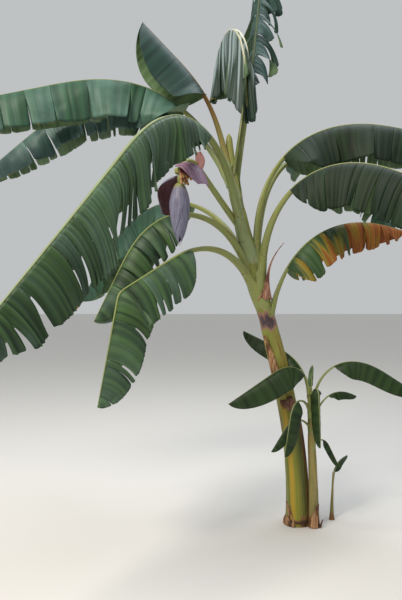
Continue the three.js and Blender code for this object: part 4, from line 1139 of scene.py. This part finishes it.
def husk_place(stem, shape, horn):
    """Where the points of a peeling, frayed sheath go, or of a dried stalk that stands out like a horn."""
    def place(i, j):
        frayed = 1 - (0 if horn else 0.06) * (0.5 + 0.5 * np.sin(31 * j + 3)) * (0.5 + 0.5 * np.sin(73 * j))
        z = lerp(shape["low"], shape["high"], i * frayed)
        z = z - (0.022 if horn else 0.0) * (1 - i) ** 4 * (0.5 + 0.5 * np.sin(15 * j + 1))
        near = stem_radius(stem, z) + shape["over"] - DRY_SINK * (1 - i) ** 3
        if horn:
            half = 0.058 * (1 - i) ** 4 + 0.013 * (1 - i) ** 1.2 + 0.001
            middle = shape["azimuth"] - 36 * (1 - i) ** 4
        else:
            half = shape["width"] * 0.5 * (1 - DRY_TAPER * i ** DRY_TAPER_POWER)
            middle = shape["azimuth"] + shape.get("skew", 0) * i
        angle = np.radians(middle) + (j - 0.5) * 2 * half / near
        hollow = (0.012 if horn else -0.006) * np.sin(np.pi * j) * smoothstep(i, 0, 0.3) * (1 - 0.7 * i)
        reach = near + shape["stand"] * i ** (2.6 if horn else 2) + shape["bulge"] * np.sin(np.pi * j)
        reach = reach + 0.006 + hollow + 0.002 * np.sin(34 * j + 6 * i) * (1 - i)
        return stem_centre(stem, z) + around(angle, reach), {}
    return place


def build_dry_pieces():
    """Peeling and dried pieces of sheath and stalk on the trunk, and the dry flaps at the plant's foot."""
    for name, shape in DRY_PIECES.items():
        horn = name == "dry_stalk_right"
        piece = shell_piece(name + "_husk", 44, 24, husk_place(MAIN_STEM, shape, horn), 0.004,
                            [MATERIALS["horn" if horn else "husk"]])
        finish_piece(piece, "dried", name)
    for k, (stem, azimuth, height, width, stand, skew) in enumerate(FOOT_FLAPS):
        shape = dict(azimuth=azimuth, low=0.004, high=height, width=width, stand=stand, bulge=0, over=0.012,
                     skew=skew)
        piece = shell_piece("foot_flap_%d" % k, 26, 16, husk_place(stem, shape, False), 0.003,
                            [MATERIALS["husk"]])
        finish_piece(piece, "dried")


def build_stub():
    """The rotten stub of a cut leaf stalk: a lumpy brown knob that sits on the trunk."""
    middle = stem_centre(MAIN_STEM, np.array([STUB["middle"]]))[0]
    out = stem_radius(MAIN_STEM, STUB["middle"]) + STUB["over"] + STUB["seat"]
    place = middle + around(np.array(math.radians(STUB["azimuth"])), out)
    deselect_all()
    bpy.ops.mesh.primitive_uv_sphere_add(segments=36, ring_count=24, radius=1, location=tuple(place))
    piece = new_active("cut_stalk_stub")
    with all_in_edit_mode():
        bpy.ops.transform.resize(value=STUB["size"], center_override=tuple(place))
    settle()
    away = vertices(piece.data) - place
    lumps = 1 + 0.07 * ripple(away[:, 0] * 90, away[:, 2] * 60, 2)
    lumps = lumps + 0.06 * ripple(away[:, 1] * 100, away[:, 2] * 50, 5)
    piece.data.vertices.foreach_set("co", (place + away * lumps[:, None]).ravel())
    piece.data.materials.append(MATERIALS["rot"])
    bpy.ops.object.shade_smooth()
    finish_piece(piece, "dried", "cut_stalk_front")


# Flower

def bud_top():
    return Midrib(FLOWER_STALK, MAIN_STEM).points[-1] + np.array([0, 0, -0.0006])


def bud_radius(share):
    swelling = np.sin(np.pi / 2 * np.minimum(share / BUD_SHOULDER, 1)) ** 0.8
    narrowing = np.cos(np.pi / 2 * np.clip((share - BUD_SHOULDER) / (1.02 - BUD_SHOULDER), 0, 1)) ** 0.85
    return BUD_CROWN * (1 - share) ** 6 + BUD_RADIUS * swelling * narrowing


def circle(sides):
    """Angles of the points of a ring."""
    return 2 * np.pi * np.arange(sides)[None, :] / sides


def build_flower_stalk():
    """The arching flower stalk, ringed near its end by the scars of fallen bracts."""
    share = np.linspace(0, 1, 121)
    point, _, right, up = Midrib(FLOWER_STALK, MAIN_STEM).at(share * FLOWER_STALK.stalk)
    angle = circle(20)
    rings = np.clip(np.sin(share * 2 * np.pi * FLOWER_STALK_RINGS), 0, 1) ** 3
    radius = FLOWER_STALK_RADIUS * lerp(1.25, 0.85, share) + 0.002 * smoothstep(share, 0.45, 0.8) * rings
    reach = radius[:, None] * (1 + 0.03 * np.sin(5 * angle + 8 * share[:, None]))
    # Paler on its upper side than underneath: painted light from above.
    piece = tube_piece("flower_stalk_skin", point, right, up, reach * np.cos(angle), reach * np.sin(angle),
                       (share[:, None], 0.3 + 0.3 * np.sin(angle)), MATERIALS["fresh"])
    finish_piece(piece, "stalk", "flower_stalk")


def build_bud():
    """The closed bud: pointed, spoon-shaped bracts that overlap in a spiral."""
    top = bud_top()
    made = []
    for k in range(BUD_SHELLS):
        inner = k / (BUD_SHELLS - 1)

        def place(i, j, turn=math.radians(BUD_SPIRAL * k + 60), inner=inner):
            share = i * lerp(0.8, 1.0, inner)
            side = 2 * j - 1
            spoon = np.sin(np.pi * np.clip(0.34 + 0.66 * i, 0, 1)) ** 0.6
            angle = turn + side * np.radians(100) * np.clip(spoon, 0.01, 1) + 0.2 * i
            ridge = 0.0008 * np.sin(side * 24)
            radius = bud_radius(np.clip(share, 0, 1)) - 0.0045 * inner + ridge * (1 - i) + 0.0006
            places = np.stack([top[0] + radius * np.cos(angle), top[1] + radius * np.sin(angle),
                               top[2] - share * BUD_LENGTH], axis=-1)
            return places, {"uv": np.stack([share * BUD_LENGTH, side * BUD_RADIUS * 1.6], axis=-1)}

        made.append(shell_piece("bud_bract_%02d" % k, 30, 22, place, 0.003,
                                [MATERIALS["bud"], MATERIALS["bract_inside"]], flip=True))
    finish_piece(joined("flower_bud_bracts", made), "bud", "flower_bud")


def build_open_bracts():
    """Open bracts: cupped, pointed shells, lilac with a bloom outside and maroon inside."""
    for name, shape in BRACTS.items():
        facing = math.radians(shape["azimuth"])
        side_way = around(np.array(facing + math.pi / 2), 1.0)
        steps = 60
        turned = smoothstep(np.linspace(0, 1, steps + 1), 0, 0.8)
        slopes = np.radians(lerp(shape["rise"], shape["fall"], turned))
        headings = direction(slopes, np.full(steps + 1, facing))
        start = bud_top() + around(np.array(facing), shape["hinge"]) + np.array([0, 0, shape["above"]])
        spine = start + np.vstack([np.zeros(3), np.cumsum(headings[:-1] * shape["length"] / steps, axis=0)])

        def place(i, j, shape=shape, headings=headings, spine=spine, side_way=side_way):
            k = np.round(i * (len(spine) - 1)).astype(int)
            side = 2 * j - 1
            cup = math.radians(shape["cup"])
            width = lerp(0.25, 1, np.sin(np.pi * np.clip(0.12 + 0.84 * i, 0, 1)) ** 0.7)
            half = shape["half"] * BRACT_WIDER * width
            bend = half / cup
            rolled = 0.012 * np.abs(side) ** 5 * smoothstep(i, 0.15, 0.6)
            ridge = 0.0008 * np.sin(side * 24)
            outside = -np.cross(side_way, headings[k])
            reach = bend + rolled + ridge
            turn = cup * side
            places = (spine[k] + (-bend + reach * np.cos(turn))[:, None] * outside
                      + (reach * np.sin(turn))[:, None] * side_way)
            return places, {"uv": np.stack([0.06 + i * shape["length"], side * half], axis=-1)}

        piece = shell_piece(name + "_shell", 44, 30, place, 0.004,
                            [MATERIALS[shape["tone"]], MATERIALS["bract_inside"]], flip=True)
        finish_piece(piece, "bract", name)


def build_flowers():
    """A hand of young flowers: two fans of fingers from a collar round the stalk."""
    top = bud_top()
    made = []
    rings = 20
    share = np.linspace(0, 1, rings + 1)
    angle = circle(10)
    swelling = 0.62 + 0.3 * np.sin(np.pi * share * 1.1) + 0.32 * np.exp(-((share - 0.9) / 0.07) ** 2)
    swelling[-1] = 0.15
    reach = (FLOWERS["radius"] * swelling)[:, None] * (1 + 0.08 * np.cos(5 * angle))
    for row in range(FLOWERS["rows"]):
        for k in range(FLOWERS["count"]):
            turn = FLOWERS["spread"] * (k / (FLOWERS["count"] - 1) - 0.5) + 5 * row
            facing = np.full(rings + 1, math.radians(FLOWERS["azimuth"] + turn))
            drop = math.radians(FLOWERS["drop"] + FLOWERS["drop_step"] * row + 6 * math.sin(3 * k))
            slope = -drop - 0.5 * share
            step = FLOWERS["length"] * (1 - 0.1 * ((k * 7) % 3)) / rings
            out = FLOWERS["collar"] * 0.55 + np.append(0, np.cumsum(np.cos(slope[:-1]))) * step
            height = FLOWERS["above"] + FLOWERS["row_height"] - FLOWERS["row_step"] * row
            spine = top + np.array([0, 0, height]) + around(facing, out)
            spine[:, 2] += np.append(0, np.cumsum(np.sin(slope[:-1]))) * step
            made.append(tube_piece("flower_%d_%02d" % (row, k), spine, around(facing + math.pi / 2, 1.0),
                                   direction(slope + math.pi / 2, facing), reach * np.cos(angle),
                                   reach * np.sin(angle), (share[:, None], 0.2 * k + 0.02 * angle),
                                   MATERIALS["flower"]))
    made.append(build_collar(top))
    finish_piece(joined("flower_hand_fingers", made), "flower", "flower_hand")


def build_collar(top):
    """The yellow-green collar that the flowers grow from."""
    place = (top[0], top[1], top[2] + FLOWERS["above"])
    deselect_all()
    bpy.ops.mesh.primitive_torus_add(major_radius=FLOWERS["collar"] * 0.72, minor_radius=0.012,
                                     major_segments=36, minor_segments=12, location=place)
    collar = new_active("flower_collar")
    with all_in_edit_mode():
        bpy.ops.transform.resize(value=(1, 1, 1.8), center_override=place)
    settle()
    layer = collar.data.uv_layers[0]
    layer.name = "vein"
    layer.data.foreach_set("uv", np.zeros(2 * len(collar.data.loops)))
    collar.data.materials.append(MATERIALS["flower"])
    bpy.ops.object.shade_smooth()
    return collar


# Stage

def build_stage(settings):
    """Pale floor, soft light and the camera at the photograph's viewing angle."""
    scene = bpy.context.scene
    scene.view_settings.view_transform = "Standard"
    deselect_all()
    bpy.ops.mesh.primitive_plane_add(size=400, location=(0, 0, 0))
    floor = new_active("floor")
    settle()
    material, _, shader = new_material("floor_matt_paint", 0.9, 0.2)
    shader.inputs["Base Color"].default_value = linear("#dfddd8")
    floor.data.materials.append(material)

    world = bpy.data.worlds.new("soft_studio")
    scene.world = world
    world.use_nodes = True
    background = next(n for n in world.node_tree.nodes if n.type == "BACKGROUND")
    background.inputs[0].default_value = linear("#eceff1")
    background.inputs[1].default_value = settings.sky_strength

    for name, place, size, power, colour in (
            ("key", (-4.5, -5.0, 7.5), 3.0, settings.key_power, "#fff6e8"),
            ("top", (1.5, 1.0, 8.5), 4.0, 0.5 * settings.key_power, "#eef4ff")):
        light = bpy.data.lights.new(name, "AREA")
        light.size = size
        light.energy = power
        light.color = linear(colour)[:3]
        lamp = bpy.data.objects.new(name, light)
        scene.collection.objects.link(lamp)
        lamp.location = place
        lamp.rotation_euler = (LIT_PLACE - Vector(place)).to_track_quat("-Z", "Y").to_euler()

    camera = bpy.data.cameras.new("camera")
    camera.sensor_width = SENSOR
    camera.lens = SENSOR * FOCAL_PIXELS / FRAME_PIXELS
    camera.clip_end = 200
    viewer = bpy.data.objects.new("camera", camera)
    scene.collection.objects.link(viewer)
    viewer.location = CAMERA_PLACE
    viewer.rotation_euler = (math.radians(90 + CAMERA_PITCH), 0, 0)
    scene.camera = viewer


# Settings, operators and panel

def colour(name, description, default):
    """A colour in the sidebar, from its sRGB hex value."""
    return FloatVectorProperty(name=name, description=description, subtype="COLOR", min=0, max=1,
                               default=linear(default)[:3])


class BananaColours(bpy.types.PropertyGroup):
    leaf_deep: colour("Deep leaf", "Older leaf blades", "#213c2a")
    leaf_mid: colour("Mid leaf", "Leaf blades in full light", "#1b3018")
    # The pale leaf colour lies on the fold crests: a thick bloom with painted highlight.
    leaf_pale: colour("Pale leaf", "Leaf blades with a thick wax bloom", "#87989a")
    stem_low: colour("Lower stem", "Sheath skin near the ground", "#8c8a28")
    stem_high: colour("Upper stem", "Sheath skin below the crown", "#8f8f4c")
    bud: colour("Bud bloom", "Wax bloom on the flower bud", "#83859a")
    bract: colour("Bract inside", "Inner face of an open bract", "#4f1f2a")


class BananaDetails(bpy.types.PropertyGroup):
    cell: FloatProperty(name="Blade cell", description="Length of a mesh cell along a blade", unit="LENGTH",
                        default=0.009, min=0.004, max=0.05)
    blade_rows: IntProperty(name="Blade rows", description="Cells from midrib to margin", default=16, min=6,
                            max=40)
    fold_width: FloatProperty(name="Fold width", description="Distance between folds of a blade",
                              unit="LENGTH", default=0.075, min=0.01, max=0.3)
    fold_depth: FloatProperty(name="Fold depth", description="Factor on the depth of the folds", default=1.0,
                              min=0, max=4)
    tears_per_metre: FloatProperty(name="Fine tears", default=9.0, min=0, max=40,
                                   description="Fine tears for each metre of a torn blade half")
    stem_rings: IntProperty(name="Stem rings", description="Rings along the main stem", default=190, min=20,
                            max=400)
    key_power: FloatProperty(name="Key light", description="Strength of the key light", unit="POWER",
                             default=620.0, min=0)
    sky_strength: FloatProperty(name="Sky", description="Strength of the even light", default=0.62, min=0,
                                max=5)


def prepared(context):
    """Makes the materials if they aren't there yet, and gives the details of the sidebar."""
    if not MATERIALS:
        make_materials(context.scene.banana_colours)
    return context.scene.banana_details


class BANANA_OT_stage(bpy.types.Operator):
    """Build the floor, the lights and the camera"""
    bl_idname = "banana.stage"
    bl_label = "Stage"

    def execute(self, context):
        build_stage(prepared(context))
        return {"FINISHED"}


class BANANA_OT_stems(bpy.types.Operator):
    """Build the trunk of rolled leaf sheaths and the stems of the suckers"""
    bl_idname = "banana.stems"
    bl_label = "Stems"

    def execute(self, context):
        rings = prepared(context).stem_rings
        bands = sheath_bands(LEAVES, GONE_LEAVES, 3, 0.3)
        trunk = build_stem("trunk_skin", MAIN_STEM, bands, MATERIALS["trunk"], 120, rings, 1.0, SCARS)
        finish_piece(trunk, "stem", "main_stem")
        bands = sheath_bands(SUCKER_LEAVES[1:], GONE_SUCKER_LEAVES, 8, 0.1)
        sucker = build_stem("sucker_skin", SUCKER_STEM, bands, MATERIALS["sucker"], 56, rings // 2, 0.45)
        finish_piece(sucker, "stem", "sucker_stem")
        bands = [SheathBand(0.3, 80, 0.2, 0.3), SheathBand(0.2, 250, 0.8, 0.4)]
        sprout = build_stem("sprout_skin", SPROUT_STEM, bands, MATERIALS["sucker"], 28, 40, 0.15)
        finish_piece(sprout, "stalk", "sprout_stem")
        return {"FINISHED"}


class BANANA_OT_sheaths(bpy.types.Operator):
    """Build the loose outer sheath, the peeling dry pieces and the cut stub"""
    bl_idname = "banana.sheaths"
    bl_label = "Sheaths"

    def execute(self, context):
        prepared(context)
        build_outer_sheath()
        build_dry_pieces()
        build_stub()
        return {"FINISHED"}


class BANANA_OT_leaves(bpy.types.Operator):
    """Build the leaves of the main stem"""
    bl_idname = "banana.leaves"
    bl_label = "Leaves"

    def execute(self, context):
        build_leaves(LEAVES, MAIN_STEM, FIRST_SEED, prepared(context))
        return {"FINISHED"}


class BANANA_OT_sucker_leaves(bpy.types.Operator):
    """Build the leaves of the suckers"""
    bl_idname = "banana.sucker_leaves"
    bl_label = "Sucker Leaves"

    def execute(self, context):
        settings = prepared(context)
        build_leaves(SUCKER_LEAVES, SUCKER_STEM, FIRST_SUCKER_SEED, settings)
        build_leaves(SPROUT_LEAVES, SPROUT_STEM, FIRST_SPROUT_SEED, settings)
        return {"FINISHED"}


class BANANA_OT_flower(bpy.types.Operator):
    """Build the flower stalk, the bud, its open bracts and the hand of flowers"""
    bl_idname = "banana.flower"
    bl_label = "Flower"

    def execute(self, context):
        prepared(context)
        build_flower_stalk()
        build_bud()
        build_open_bracts()
        build_flowers()
        return {"FINISHED"}


class BANANA_PT_panel(bpy.types.Panel):
    """Sizes, colours and builders of the banana plant"""
    bl_idname = "BANANA_PT_panel"
    bl_label = "Banana Plant"
    bl_space_type = "VIEW_3D"
    bl_region_type = "UI"
    bl_category = "Banana"

    def draw(self, context):
        layout = self.layout
        for group in (context.scene.banana_details, context.scene.banana_colours):
            for name in group.__annotations__:
                layout.prop(group, name)
        for operator in OPERATORS:
            layout.operator(operator.bl_idname)


OPERATORS = (BANANA_OT_stage, BANANA_OT_stems, BANANA_OT_sheaths, BANANA_OT_leaves, BANANA_OT_sucker_leaves,
             BANANA_OT_flower)
CLASSES = (BananaColours, BananaDetails, *OPERATORS, BANANA_PT_panel)


def register():
    for cls in CLASSES:
        bpy.utils.register_class(cls)
    bpy.types.Scene.banana_colours = PointerProperty(type=BananaColours)
    bpy.types.Scene.banana_details = PointerProperty(type=BananaDetails)


def unregister():
    del bpy.types.Scene.banana_details
    del bpy.types.Scene.banana_colours
    for cls in reversed(CLASSES):
        bpy.utils.unregister_class(cls)


def main():
    register()
    bpy.ops.banana.stage()
    bpy.ops.banana.stems()
    bpy.ops.banana.sheaths()
    bpy.ops.banana.leaves()
    bpy.ops.banana.sucker_leaves()
    bpy.ops.banana.flower()
    deselect_all()


if __name__ == "__main__":
    main()
